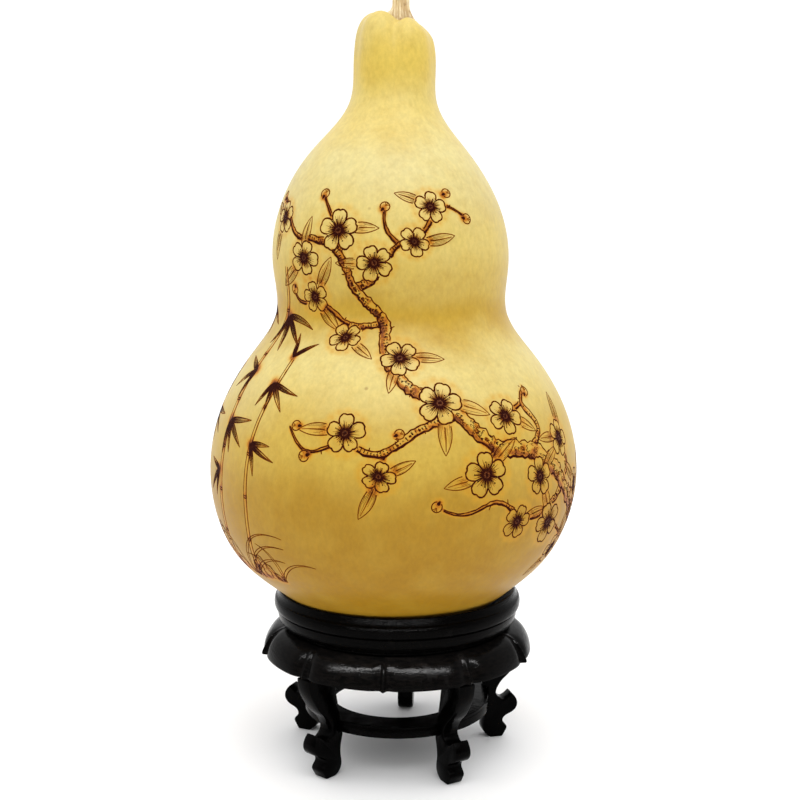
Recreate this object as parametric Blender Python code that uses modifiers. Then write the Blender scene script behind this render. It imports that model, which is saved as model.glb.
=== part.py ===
"""A dried bottle gourd with its stem, resting in a black turned and carved wooden stand.

Metres, +Z up. The origin is on the floor, on the axis of the stand, and the front is -Y.
Azimuths are counted from the front towards +X.
"""

import math

import bpy
import numpy as np

# The gourd: radius, height and sideways lean of its skin, from the rim of the stem scar down to the base.
GOURD_OUTLINE = (
    (0.0070, 0.3503, -0.0011),
    (0.0098, 0.3498, -0.0011),
    (0.0130, 0.3481, -0.0011),
    (0.0157, 0.3453, -0.0011),
    (0.0173, 0.3422, -0.0011),
    (0.0183, 0.3378, -0.0011),
    (0.0190, 0.3300, -0.0011),
    (0.0202, 0.3120, -0.0018),
    (0.0356, 0.2900, -0.0036),
    (0.0519, 0.2620, -0.0034),
    (0.0554, 0.2350, -0.0030),
    (0.0543, 0.2150, -0.0026),
    (0.0665, 0.1950, -0.0021),
    (0.0814, 0.1700, -0.0019),
    (0.0873, 0.1450, -0.0017),
    (0.0853, 0.1220, -0.0019),
    (0.0752, 0.1000, -0.0021),
    (0.0556, 0.0820, -0.0013),
    (0.0410, 0.0710, -0.0005),
    (0.0240, 0.0640, 0.0),
    (0.0120, 0.0623, 0.0),
    (0.0, 0.0620, 0.0),
)
GOURD_STEP = 0.012
GOURD_SIDES = 56
CROWN_HEIGHT = 0.3503
CROWN_TILT = 0.27
TILT_FROM = 0.330
STEM_SHIFT = 0.0028
SHIFT_REACH = 0.016
FURROWS = 5
FURROW_DEPTH = 0.0014
FURROW_SHARPNESS = 1.5
FURROW_AT_SIDES = 0.35
FURROW_FROM, FURROW_FULL = 0.300, 0.340
SCAR_RADIUS, LOBE_RADIUS = 0.007, 0.012

# The stem: radius and height above the stem scar, from its cut end down to its flared foot.
STEM_OUTLINE = (
    (0.0, 0.0330),
    (0.0035, 0.0330),
    (0.0042, 0.0323),
    (0.0038, 0.0250),
    (0.0036, 0.0150),
    (0.0036, 0.0078),
    (0.0038, 0.0044),
    (0.0045, 0.0022),
    (0.0064, 0.0),
    (0.0, 0.0),
)
STEM_SIDES = 20
STEM_RIBS = 5
STEM_RIB_HEIGHT = 0.0004
STEM_LEAN = (0.04, 0.10)

# Joints between touching pieces.
GAP = 0.0003

# The turned seat: its bowl, lip, cove, half-round rim, groove, ovolo and waist.
SEAT_BASE = 0.0505
BOWL = (
    (0.0140, 0.0618),
    (0.0250, 0.0629),
    (0.0340, 0.0657),
    (0.0420, 0.0697),
    (0.0490, 0.0745),
    (0.0545, 0.0795),
    (0.0561, 0.0810),
)
LIP = ((0.0567, 0.0813), (0.0573, 0.0809))
COVE = ((0.0578, 0.0794), (0.0589, 0.0776))
RIM_CENTRE, RIM_HALF = (0.0587, 0.0749), (0.0011, 0.0028)
RIM_FROM, RIM_TO = 70, -80
RIM_POINTS = 6
GROOVE = (0.0572, 0.0718)
OVOLO_CENTRE, OVOLO_HALF = (0.0545, 0.0713), (0.0038, 0.0068)
OVOLO_FROM, OVOLO_TO = 0, -90
OVOLO_POINTS = 5
WAIST_RADIUS, WAIST_TOP = 0.0535, 0.0642
SEAT_SIDES = 60

# The lobed apron round the waist of the seat.
APRON_BORE = WAIST_RADIUS + GAP
APRON_TOP = 0.0633
APRON_SECTION = (
    (0.0565, 0.0628),
    (0.0601, 0.0610),
    (0.0629, 0.0580),
    (0.0647, 0.0540),
    (0.0652, 0.0512),
    (0.0649, SEAT_BASE),
)
APRON_REACH = 0.0652
APRON_SIDES = 100
LOBES = 10
FIRST_NOTCH = 30.5
LOBE_CLUSTER = 1.8
LEG_NOTCH, LEG_NOTCH_WIDTH = 0.0028, 4.0
BAY_NOTCH, BAY_NOTCH_WIDTH = 0.0024, 3.6
NOTCH_FULL, NOTCH_AT_EDGE = 0.0570, 0.55
LEG_RIB, BAY_RIB, RIB_WIDTH = 0.0018, 0.0028, 1.05

# The legs, cut from board: radius and height of each run of the outline, from the top outer corner.
LEG_AZIMUTHS = (29.5, 102.5, 174.5, 246.5, 318.5)
LEG_THICKNESS = 0.0079
LEG_TOP = SEAT_BASE - GAP
KNEE = (
    (0.0645, LEG_TOP),
    (0.0635, 0.0440),
    (0.0602, 0.0375),
    (0.0560, 0.0320),
    (0.0528, 0.0290),
    (0.0510, 0.0263),
    (0.0501, 0.0240),
    (0.0503, 0.0222),
    (0.0516, 0.0206),
    (0.0539, 0.0193),
    (0.0563, 0.0204),
    (0.0582, 0.0222),
)
HOOK = (
    (0.0582, 0.0222),
    (0.0600, 0.0202),
    (0.0612, 0.0176),
    (0.0611, 0.0155),
    (0.0600, 0.0136),
    (0.0578, 0.0120),
    (0.0548, 0.0105),
    (0.0537, 0.0090),
    (0.0537, 0.0077),
    (0.0548, 0.0063),
    (0.0558, 0.0047),
    (0.0552, 0.0030),
    (0.0534, 0.0),
)
HEEL = ((0.0474, 0.0), (0.0450, 0.0017), (0.0436, 0.0040), (0.0440, 0.0097), (0.0426, 0.0187))
SHIN = ((0.0440, 0.0263), (0.0447, 0.0300), (0.0457, 0.0349), (0.0472, 0.0434), (0.0473, LEG_TOP))
LEG_STEP = 0.0028

# The stretcher ring, let into the backs of the legs.
STRETCHER_INNER, STRETCHER_OUTER = 0.0323, 0.0453
STRETCHER_BASE, STRETCHER_TOP = 0.0208, 0.0260
STRETCHER_GROOVE = 0.0008
STRETCHER_SIDES = 60

SHARP_ANGLE = math.radians(35)
MERGE = 0.0001

# Finishes: the colours of skin, stem and lacquer, and how dull each piece is.
SKIN_COLOUR, SKIN_ROUGHNESS = (0.72, 0.50, 0.17), 0.42
STEM_COLOUR, STEM_ROUGHNESS = (0.62, 0.50, 0.31), 0.75
LACQUER_COLOUR = (0.012, 0.011, 0.011)
SEAT_ROUGHNESS, APRON_ROUGHNESS = 0.28, 0.30
LEG_ROUGHNESS, STRETCHER_ROUGHNESS = 0.32, 0.34


def clear_scene():
    for obj in list(bpy.data.objects):
        bpy.data.objects.remove(obj)


def collection(name):
    made = bpy.data.collections.new(name)
    bpy.context.scene.collection.children.link(made)
    return made


def finish_of(name, colour, roughness):
    """A Principled material for one sub-part."""
    material = bpy.data.materials.new(name)
    material.use_nodes = True
    shader = material.node_tree.nodes["Principled BSDF"]
    shader.inputs["Base Color"].default_value = (*colour, 1.0)
    shader.inputs["Roughness"].default_value = roughness
    return material


def smoothstep(value, start, end):
    share = min(max((value - start) / (end - start), 0.0), 1.0)
    return share * share * (3 - 2 * share)


def smooth_run(points, step):
    """Points no further apart than step on a natural cubic spline through the ones given."""
    knots = np.array(points, float)
    spans = np.linalg.norm(np.diff(knots[:, :2], axis=0), axis=1)
    bend = np.eye(len(knots))
    pull = np.zeros_like(knots)
    for i in range(1, len(knots) - 1):
        before, after = spans[i - 1], spans[i]
        bend[i, i - 1 : i + 2] = before, 2 * (before + after), after
        pull[i] = 6 * ((knots[i + 1] - knots[i]) / after - (knots[i] - knots[i - 1]) / before)
    curvature = np.linalg.solve(bend, pull)
    run = []
    for i, span in enumerate(spans):
        count = math.ceil(span / step)
        for j in range(count):
            to, back = span * j / count, span * (count - j) / count
            point = (curvature[i] * back**3 + curvature[i + 1] * to**3) / (6 * span)
            point += (knots[i] / span - curvature[i] * span / 6) * back
            point += (knots[i + 1] / span - curvature[i + 1] * span / 6) * to
            run.append(tuple(point))
    return run + [tuple(knots[-1])]


def arc(centre, half, start, end, count):
    """Points on an ellipse of the given half axes, between two angles in degrees."""
    angles = np.radians(np.linspace(start, end, count))
    return [(centre[0] + half[0] * math.cos(a), centre[1] + half[1] * math.sin(a)) for a in angles]


def turned(name, outline, sides, closed=False):
    """The outline, which runs down its outer side, turned about the Z axis by a Screw."""
    mesh = bpy.data.meshes.new(name)
    edges = [(i, i + 1) for i in range(len(outline) - 1)]
    if closed:
        edges.append((len(outline) - 1, 0))
    mesh.from_pydata([(radius, 0.0, height) for radius, height in outline], edges, [])
    obj = bpy.data.objects.new(name, mesh)
    screw = obj.modifiers.new("Turn", "SCREW")
    screw.axis = "Z"
    screw.steps = screw.render_steps = sides
    screw.use_merge_vertices = True
    screw.merge_threshold = MERGE
    screw.use_smooth_shade = True
    return obj


def place(obj, group, material, parent=None):
    group.objects.link(obj)
    obj.data.materials.clear()
    obj.data.materials.append(material)
    obj.parent = parent


def made_plain(obj):
    """The object with its modifiers applied, shaded smooth up to the sharp angle."""
    bpy.context.scene.collection.objects.link(obj)
    graph = bpy.context.evaluated_depsgraph_get()
    mesh = bpy.data.meshes.new_from_object(obj.evaluated_get(graph))
    obj.modifiers.clear()
    obj.data = mesh
    bpy.context.scene.collection.objects.unlink(obj)
    mesh.shade_smooth()
    mesh.set_sharp_from_angle(angle=SHARP_ANGLE)
    return obj


def azimuth_of(point):
    return math.atan2(point.x, -point.y)


def crown_share(height):
    """How much of the crown's tilt a point of this height has."""
    return min(max((height - TILT_FROM) / (CROWN_HEIGHT - TILT_FROM), 0.0), 1.0) ** 2


def gourd_skin_point(point, normal, heights, leans):
    """A point of the turned gourd, furrowed, leaned and tilted as it grew."""
    radius = math.hypot(point.x, point.y)
    furrow = (0.5 + 0.5 * math.cos(FURROWS * azimuth_of(point))) ** FURROW_SHARPNESS
    furrow = (furrow - FURROW_AT_SIDES) * FURROW_DEPTH
    furrow *= smoothstep(point.z, FURROW_FROM, FURROW_FULL)
    if point.z > FURROW_FULL:
        furrow *= smoothstep(radius, SCAR_RADIUS, LOBE_RADIUS)
    moved = point - normal * furrow
    if point.z > FURROW_FULL and radius < SHIFT_REACH:
        moved.x += STEM_SHIFT * (1 - (radius / SHIFT_REACH) ** 2) ** 2
    moved.z -= CROWN_TILT * crown_share(point.z) * moved.x
    moved.x += float(np.interp(point.z, heights, leans))
    return moved


def make_gourd(group):
    rows = smooth_run(GOURD_OUTLINE, GOURD_STEP)
    outline = [(0.0, CROWN_HEIGHT)] + [(radius, height) for radius, height, _ in rows]
    gourd = made_plain(turned("gourd", outline, GOURD_SIDES))
    heights = [height for _, height, _ in reversed(rows)]
    leans = [lean for _, _, lean in reversed(rows)]
    normals = [vertex.normal.copy() for vertex in gourd.data.vertices]
    for vertex, normal in zip(gourd.data.vertices, normals):
        vertex.co = gourd_skin_point(vertex.co, normal, heights, leans)
    place(gourd, group, finish_of("gourd_skin", SKIN_COLOUR, SKIN_ROUGHNESS))


def make_stem(group):
    """The stem stands on the tilted scar: its foot is cut to the scar's slope and its shaft leans."""
    stem = made_plain(turned("stem", STEM_OUTLINE, STEM_SIDES))
    top = STEM_OUTLINE[0][1]
    for vertex in stem.data.vertices:
        point = vertex.co
        share = point.z / top
        rib = STEM_RIB_HEIGHT * math.cos(STEM_RIBS * azimuth_of(point))
        radius = math.hypot(point.x, point.y)
        if radius > STEM_RIB_HEIGHT:
            point.xy *= 1 + rib / radius
        scar_drop = CROWN_TILT * (point.x + STEM_SHIFT) * (1 - share)
        point.x += STEM_LEAN[0] * point.z * share
        point.y += STEM_LEAN[1] * point.z * share
        point.z += GAP - scar_drop
    neck_lean = GOURD_OUTLINE[0][2]
    stem.location = (neck_lean + STEM_SHIFT, 0.0, CROWN_HEIGHT)
    place(stem, group, finish_of("stem", STEM_COLOUR, STEM_ROUGHNESS))


def make_seat(group, material, stand):
    rim = arc(RIM_CENTRE, RIM_HALF, RIM_FROM, RIM_TO, RIM_POINTS)
    ovolo = arc(OVOLO_CENTRE, OVOLO_HALF, OVOLO_FROM, OVOLO_TO, OVOLO_POINTS)
    bowl_floor = (0.0, GOURD_OUTLINE[-1][1] - GAP)
    waist = [(WAIST_RADIUS, WAIST_TOP), (WAIST_RADIUS, SEAT_BASE), (0.0, SEAT_BASE)]
    outline = [bowl_floor, *BOWL, *LIP, *COVE, *rim, GROOVE, *ovolo, *waist]
    place(made_plain(turned("stand_seat", outline, SEAT_SIDES)), group, material, stand)


def apron_reach(azimuth, height):
    """The apron's outer radius: a notch with a rib in it over each leg and in the middle of each bay."""
    bay = 2 * 360 / LOBES
    from_leg = abs((math.degrees(azimuth) - FIRST_NOTCH + bay / 2) % bay - bay / 2)
    from_middle = bay / 2 - from_leg
    depth = NOTCH_AT_EDGE + (1 - NOTCH_AT_EDGE) * smoothstep(height, SEAT_BASE, NOTCH_FULL)
    reach = APRON_REACH
    reach -= depth * LEG_NOTCH * math.exp(-((from_leg / LEG_NOTCH_WIDTH) ** 2))
    reach += LEG_RIB * math.exp(-((from_leg / RIB_WIDTH) ** 2))
    reach -= depth * BAY_NOTCH * math.exp(-((from_middle / BAY_NOTCH_WIDTH) ** 2))
    reach += BAY_RIB * math.exp(-((from_middle / RIB_WIDTH) ** 2))
    return reach


def apron_azimuth(turn):
    """The turned ring's even steps, drawn together towards the ribs."""
    lobe = 360 / LOBES
    step = math.degrees(turn) / lobe
    off_rib = step - round(step)
    share = abs(off_rib) * 2
    gathered = math.copysign(share**LOBE_CLUSTER / 2, off_rib)
    return math.radians((round(step) + gathered) * lobe + FIRST_NOTCH)


def make_apron(group, material, stand):
    outline = [(APRON_BORE, APRON_TOP), *APRON_SECTION, (APRON_BORE, SEAT_BASE)]
    apron = made_plain(turned("stand_apron", outline, APRON_SIDES, closed=True))
    for vertex in apron.data.vertices:
        azimuth = apron_azimuth(azimuth_of(vertex.co))
        radius = math.hypot(vertex.co.x, vertex.co.y)
        reach = apron_reach(azimuth, vertex.co.z)
        share = (reach - APRON_BORE) / (APRON_REACH - APRON_BORE)
        radius = APRON_BORE + (radius - APRON_BORE) * share
        vertex.co.x = radius * math.sin(azimuth)
        vertex.co.y = -radius * math.cos(azimuth)
    place(apron, group, material, stand)


def leg_outline():
    """The board's outline, with a housing in its back for the stretcher ring."""
    back = STRETCHER_OUTER + GAP
    heel, shin = smooth_run(HEEL, LEG_STEP), smooth_run(SHIN, LEG_STEP)
    housing = [
        (HEEL[-1][0], STRETCHER_BASE - GAP),
        (back, STRETCHER_BASE - GAP),
        (back, STRETCHER_TOP + GAP),
    ]
    return smooth_run(KNEE, LEG_STEP)[:-1] + smooth_run(HOOK, LEG_STEP) + heel + housing + shin


def make_legs(group, material, stand):
    curve = bpy.data.curves.new("leg_board", "CURVE")
    curve.dimensions = "2D"
    curve.fill_mode = "BOTH"
    curve.extrude = LEG_THICKNESS / 2
    outline = leg_outline()
    spline = curve.splines.new("POLY")
    spline.points.add(len(outline) - 1)
    for spot, (radius, height) in zip(spline.points, outline):
        spot.co = (radius, height, 0.0, 1.0)
    spline.use_cyclic_u = True
    for number, degrees in enumerate(LEG_AZIMUTHS, start=1):
        azimuth = math.radians(degrees)
        leg = bpy.data.objects.new(f"stand_leg_{number}", curve)
        leg.rotation_euler = (math.pi / 2, 0.0, azimuth - math.pi / 2)
        place(leg, group, material, stand)


def make_stretcher(group, material, stand):
    groove_top = STRETCHER_TOP - STRETCHER_GROOVE
    groove_base = groove_top - STRETCHER_GROOVE
    outline = [
        (STRETCHER_INNER, STRETCHER_TOP),
        (STRETCHER_OUTER - STRETCHER_GROOVE / 2, STRETCHER_TOP),
        (STRETCHER_OUTER - STRETCHER_GROOVE / 2, groove_top),
        (STRETCHER_OUTER, groove_base),
        (STRETCHER_OUTER, STRETCHER_BASE),
        (STRETCHER_INNER, STRETCHER_BASE),
    ]
    ring = made_plain(turned("stand_stretcher", outline, STRETCHER_SIDES, closed=True))
    place(ring, group, material, stand)


def main():
    clear_scene()
    group = collection("bottle_gourd_on_stand")
    stand = bpy.data.objects.new("stand", None)
    group.objects.link(stand)
    make_gourd(group)
    make_stem(group)
    make_seat(group, finish_of("black_seat", LACQUER_COLOUR, SEAT_ROUGHNESS), stand)
    make_apron(group, finish_of("black_apron", LACQUER_COLOUR, APRON_ROUGHNESS), stand)
    make_legs(group, finish_of("black_legs", LACQUER_COLOUR, LEG_ROUGHNESS), stand)
    make_stretcher(group, finish_of("black_stretcher", LACQUER_COLOUR, STRETCHER_ROUGHNESS), stand)


main()
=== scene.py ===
"""A dried bottle gourd with a burnt drawing, resting in a black carved wooden stand.

Laid out as an add-on: each piece has its operator and the sidebar panel lists them.
Metres, +Z up, front -Y. Azimuths are counted from the front towards +X.
"""

import itertools
import math
import random

import bmesh
import bpy
import numpy as np
from bpy.props import FloatProperty, FloatVectorProperty, IntProperty, PointerProperty
from bpy.types import Operator, Panel, PropertyGroup
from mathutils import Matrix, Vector
from mathutils.bvhtree import BVHTree
from mathutils.kdtree import KDTree


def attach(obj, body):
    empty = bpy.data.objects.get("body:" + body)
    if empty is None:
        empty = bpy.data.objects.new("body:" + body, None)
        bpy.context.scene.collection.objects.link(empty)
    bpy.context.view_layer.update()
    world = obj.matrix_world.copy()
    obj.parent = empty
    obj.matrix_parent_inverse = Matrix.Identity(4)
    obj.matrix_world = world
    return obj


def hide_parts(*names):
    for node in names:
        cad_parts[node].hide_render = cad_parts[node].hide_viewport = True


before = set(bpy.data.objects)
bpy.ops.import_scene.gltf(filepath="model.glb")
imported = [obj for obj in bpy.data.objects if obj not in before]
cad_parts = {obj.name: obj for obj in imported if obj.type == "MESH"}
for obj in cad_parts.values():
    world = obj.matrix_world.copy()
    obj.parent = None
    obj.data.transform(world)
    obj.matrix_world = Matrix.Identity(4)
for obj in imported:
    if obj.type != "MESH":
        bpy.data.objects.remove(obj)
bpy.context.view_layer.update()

bl_info = {
    "name": "Bottle Gourd on a Carved Stand",
    "version": (1, 0, 0),
    "blender": (4, 5, 0),
    "location": "3D View > Sidebar > Gourd",
    "description": "Dresses the bottle gourd, its burnt drawing and its black carved stand",
    "category": "Object",
}

MM = 0.001
BODY = "root"

# The gourd: radius, height and sideways lean of its skin, from the rim of the stem scar down to the base.
GOURD_OUTLINE = (
    (0.0070, 0.3503, -0.0011), (0.0098, 0.3498, -0.0011), (0.0130, 0.3481, -0.0011),
    (0.0157, 0.3453, -0.0011), (0.0173, 0.3422, -0.0011), (0.0183, 0.3378, -0.0011),
    (0.0190, 0.3300, -0.0011), (0.0202, 0.3120, -0.0018), (0.0356, 0.2900, -0.0036),
    (0.0519, 0.2620, -0.0034), (0.0554, 0.2350, -0.0030), (0.0543, 0.2150, -0.0026),
    (0.0665, 0.1950, -0.0021), (0.0814, 0.1700, -0.0019), (0.0873, 0.1450, -0.0017),
    (0.0853, 0.1220, -0.0019), (0.0752, 0.1000, -0.0021), (0.0556, 0.0820, -0.0013),
    (0.0410, 0.0710, -0.0005), (0.0240, 0.0640, 0.0), (0.0120, 0.0623, 0.0), (0.0, 0.0620, 0.0),
)
GOURD_STEP = 0.0005
GOURD_ROWS = 285
# Columns of the skin, in degrees: start, end and step, finer where the drawing is.
FRONT_COLUMNS = (-122.0, 98.0, 0.9)
BACK_COLUMNS = (98.0, 238.0, 2.6)
# Height of each band of the skin, how ripe its colour is there, and how pale.
# The bands are partly the skin's own colour and partly painted light. The deeper ochre low on the gourd
# is also painted shade on its downward-facing lower body, and the pale bands on the shoulders and crown are
# also painted highlight.
TOP_BAND = 0.360
RIPENESS_AND_PAINTED_LIGHT = (
    (0.100, 0.92, 0.0), (0.132, 0.85, 0.0), (0.160, 0.46, 0.1), (0.192, 0.0, 0.75), (0.215, 0.58, 0.0),
    (0.230, 0.36, 0.2), (0.248, 0.06, 0.5), (0.282, 0.0, 1.0), (0.308, 0.0, 0.50), (0.326, 0.02, 0.12),
    (0.348, 0.0, 0.5),
)
DRAWN_BAND = (0.078, 0.292)
DRAWN_DENSITY = 1.9
CROWN_DENSITY = 2.4
CROWN_HEIGHT = 0.3503
CROWN_TILT = 0.27
TILT_FROM = 0.330
STEM_SHIFT = 0.0028
SHIFT_REACH = 0.016
FURROWS = 5
FURROW_DEPTH = 0.0014
FURROW_SHARPNESS = 1.5
FURROW_AT_SIDES = 0.35
FURROW_FROM, FURROW_FULL = 0.300, 0.340
SCAR_RADIUS, LOBE_RADIUS = 0.007, 0.012
SCAR_RINGS = 10
CREASE_DEPTH, CREASE_HALF, CREASE_FROM, CREASE_FULL = 0.0024, 0.0034, 0.326, 0.3495
CREASE_SCAR = 0.0045

# The stem: radius and height above the stem scar.
STEM_COLUMNS = 90
STEM_STEP = 0.0006
STEM_OUTLINE = (
    (0.0042, 0.0323), (0.0038, 0.0250), (0.0036, 0.0150), (0.0036, 0.0078), (0.0037, 0.0044),
    (0.0041, 0.0022), (0.0050, 0.0),
)
STEM_TOP = 0.0330
PITH = STEM_TOP - 0.0006
STEM_END = ((0.0, PITH), (0.0012, PITH), (0.0018, STEM_TOP), (0.0034, STEM_TOP))
STEM_RIBS = 5
STEM_RIB_HEIGHT = 0.0004
STRAND_HEIGHT, FINE_STRAND_HEIGHT, STRAND_FURROW = 0.00013, 0.00008, 0.00018
STRANDS, STRAND_TWIST, STRAND_WANDER, STRAND_WAVES = 17, 0.25, 2.0, 9
FINE_STRANDS, FINE_TWIST = 31, 5
ROOT_REACH, ROOT_HEIGHT = 0.0026, 0.0060
STEM_SUNK = 0.0003
STEM_LEAN = (0.04, 0.10)
GAP = 0.0003

# The turned seat.
SEAT_COLUMNS = 180
BOWL_STEP = 0.003
SEAT_BASE = 0.0505
BOWL = (
    (0.0, 0.0617), (0.0140, 0.0618), (0.0250, 0.0629), (0.0340, 0.0657), (0.0420, 0.0697),
    (0.0490, 0.0745), (0.0545, 0.0795), (0.0561, 0.0810),
)
COVE = ((0.0576, 0.0802), (0.0578, 0.0794), (0.0582, 0.0785), (0.0589, 0.0776))
GROOVE = (0.0572, 0.0718)
# Rounded mouldings: centre, half axes, start and end in degrees, number of points.
LIP = ((0.0568, 0.0806), (0.0006, 0.0007), 110, 20, 5)
RIM = ((0.0587, 0.0749), (0.0011, 0.0028), 70, -80, 14)
OVOLO = ((0.0545, 0.0713), (0.0038, 0.0068), 0, -90, 12)
WAIST_RADIUS, WAIST_TOP = 0.0535, 0.0642

# The lobed apron.
APRON_COLUMNS = 600
APRON_STEP = 0.0009
APRON_BORE = WAIST_RADIUS + GAP
APRON_TOP = 0.0633
APRON_SECTION = (
    (0.0565, 0.0628), (0.0601, 0.0610), (0.0629, 0.0580), (0.0647, 0.0540), (0.0652, 0.0512),
    (0.0649, SEAT_BASE),
)
APRON_REACH = 0.0652
LOBES = 10
FIRST_NOTCH = 30.5
LOBE_CLUSTER = 1.8
LEG_NOTCH, LEG_NOTCH_WIDTH = 0.0028, 4.0
NOTCH_FULL, NOTCH_AT_EDGE = 0.0570, 0.55
BAY_NOTCH, BAY_NOTCH_WIDTH = 0.0024, 3.6
LEG_RIB, BAY_RIB, RIB_WIDTH = 0.0018, 0.0028, 1.05

# The legs, cut from board: radius and height of each run of the outline.
LEG_AZIMUTHS = (29.5, 102.5, 174.5, 246.5, 318.5)
LEG_THICKNESS = 0.0079
LEG_TOP = SEAT_BASE - GAP
KNEE = (
    (0.0645, LEG_TOP), (0.0635, 0.0440), (0.0602, 0.0375), (0.0560, 0.0320), (0.0528, 0.0290),
    (0.0510, 0.0263), (0.0501, 0.0240), (0.0503, 0.0222), (0.0516, 0.0206), (0.0539, 0.0193),
    (0.0563, 0.0204), (0.0582, 0.0222),
)
HOOK = (
    (0.0582, 0.0222), (0.0600, 0.0202), (0.0612, 0.0176), (0.0611, 0.0155), (0.0600, 0.0136),
    (0.0578, 0.0120), (0.0548, 0.0105), (0.0537, 0.0090), (0.0537, 0.0077), (0.0548, 0.0063),
    (0.0558, 0.0047), (0.0552, 0.0030), (0.0534, 0.0),
)
HEEL = ((0.0474, 0.0), (0.0450, 0.0017), (0.0436, 0.0040), (0.0440, 0.0097), (0.0426, 0.0187))
SHIN = ((0.0440, 0.0263), (0.0447, 0.0300), (0.0457, 0.0349), (0.0472, 0.0434), (0.0473, LEG_TOP))
LEG_STEP = 0.0008

# The stretcher ring.
STRETCHER_COLUMNS = 160
STRETCHER_INNER, STRETCHER_OUTER = 0.0323, 0.0453
STRETCHER_BASE, STRETCHER_TOP = 0.0208, 0.0260
STRETCHER_GROOVE = 0.0008

# The burnt lines: half widths, and how many there are of each small stroke.
LEAF_EDGE, LEAF_RIB, LEAF_HATCH = 0.26 * MM, 0.18 * MM, 0.20 * MM
BARK_LINE, SPUR_LINE, JOINT_RING = 0.19 * MM, 0.32 * MM, 0.25 * MM
BLADE_LINE, ROCK_HATCH = 0.22 * MM, 0.13 * MM
PETALS, RAYS, STAMENS, LEAF_HATCHES, BARK_MARKS = 5, 11, 13, 8, 5
# Step along a branch and its least half width, in mm.
BRANCH_STEP, THINNEST = 1.2, 0.12
# The scorch along a branch, its underside and its top: share of its half width, least reach in mm, depth.
BRANCH_SCORCHES = ((0.9, 0.8, 0.09), (0.40, 0.7, 0.66), (0.22, 0.6, 0.34))
# How far a scorch mark is felt, over its reach.
SCORCH_REACH = 2.2
# A ribbon's section: up from the path, and to the side.
RIBBON_CORNERS = ((1.0, -0.6, 0.0), (1.0, 0.6, 0.0), (-0.5, 1.0, 0.0), (-0.5, -1.0, 0.0))
# The amber edge of a line, over the line itself and over the scorch under it.
SINGE_BURN, SINGE_OVER_SCORCH, SINGE_RAISED = 0.42, 1.05, 0.4

# Colours that shade the ones in the settings; those of burning go with how burnt the place is.
TOAST = (
    (0.15, (0.59, 0.30, 0.014)),
    (0.42, (0.44, 0.150, 0.003)),
    (0.68, (0.18, 0.040, 0.002)),
    (0.97, (0.018, 0.006, 0.002)),
)
SINGED = ((0.16, (0.52, 0.27, 0.030)), (0.36, (0.33, 0.097, 0.006)), (0.58, (0.125, 0.024, 0.002)))
SPECK_COLOUR = (0.24, 0.115, 0.03)
STEM_RIDGE_COLOUR = (0.90, 0.78, 0.53)
STEM_FURROW_COLOUR = (0.42, 0.24, 0.075)
STEM_FLECK_COLOUR = (0.20, 0.09, 0.03)
GRAIN_COLOUR = (0.0011, 0.0009, 0.0008)
DUST_COLOUR = (0.009, 0.008, 0.0075)

# The stage: angles in degrees.
CAMERA_PLACE, CAMERA_PITCH = (0.0, -0.580, 0.246), 7.29
CAMERA_LENS, CAMERA_SHIFT = 54.83, 0.0036
SKY_WIDTH, SKY_TURN = 80, (26, -4, 0)
FLOOR_REACH, FLOOR_SHADE = 4.0, 0.97
SURROUND_FADE = (-0.75, 0.10)
GLINTING = ("carved_apron", "stretcher_ring")
LAMPS = (
    # name, whose power, share of it, place, aim, size, pieces that it lights alone
    ("Box", "box", 1.0, (0.16, -0.50, 0.95), (0.0, 0.0, 0.14), (0.60, 0.60), ()),
    ("Strip", "strip", 1.0, (-0.05, -0.46, 0.78), (0.0, 0.0, 0.06), (1.50, 0.028), GLINTING),
    ("Low_Strip", "strip", 0.14, (-0.05, -0.84, 0.44), (0.0, 0.0, 0.07), (1.20, 0.02), ("turned_seat",)),
)

POLE = 1e-7
# Side of the cells that places kept clear are looked up by.
CELL = 0.010
# The least angle, in degrees, of an edge that is drawn sharp.
SHARP, RING_SHARP, LEG_SHARP, APRON_SHARP, SAWN_EDGE = 35, 30, 40, 50, 50


# Outlines and meshes


def smoothstep(value, start, end):
    share = np.clip((value - start) / (end - start), 0.0, 1.0)
    return share * share * (3 - 2 * share)


def smooth_run(points, step):
    """Points no further apart than step on a natural cubic spline through the ones given."""
    knots = np.array(points, float)
    spans = np.linalg.norm(np.diff(knots[:, :2], axis=0), axis=1)
    bend = np.eye(len(knots))
    pull = np.zeros_like(knots)
    for i in range(1, len(knots) - 1):
        before, after = spans[i - 1], spans[i]
        bend[i, i - 1 : i + 2] = before, 2 * (before + after), after
        pull[i] = 6 * ((knots[i + 1] - knots[i]) / after - (knots[i] - knots[i - 1]) / before)
    curvature = np.linalg.solve(bend, pull)
    run = []
    for i, span in enumerate(spans):
        count = math.ceil(span / step)
        for j in range(count):
            to, back = span * j / count, span * (count - j) / count
            point = (curvature[i] * back**3 + curvature[i + 1] * to**3) / (6 * span)
            point += (knots[i] / span - curvature[i] * span / 6) * back
            point += (knots[i + 1] / span - curvature[i + 1] * span / 6) * to
            run.append(tuple(point))
    return run + [tuple(knots[-1])]


def arc(centre, half, start, end, count):
    """Points on an ellipse of the given half axes, between two angles in degrees."""
    angles = np.radians(np.linspace(start, end, count))
    return [(centre[0] + half[0] * math.cos(a), centre[1] + half[1] * math.sin(a)) for a in angles]


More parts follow.
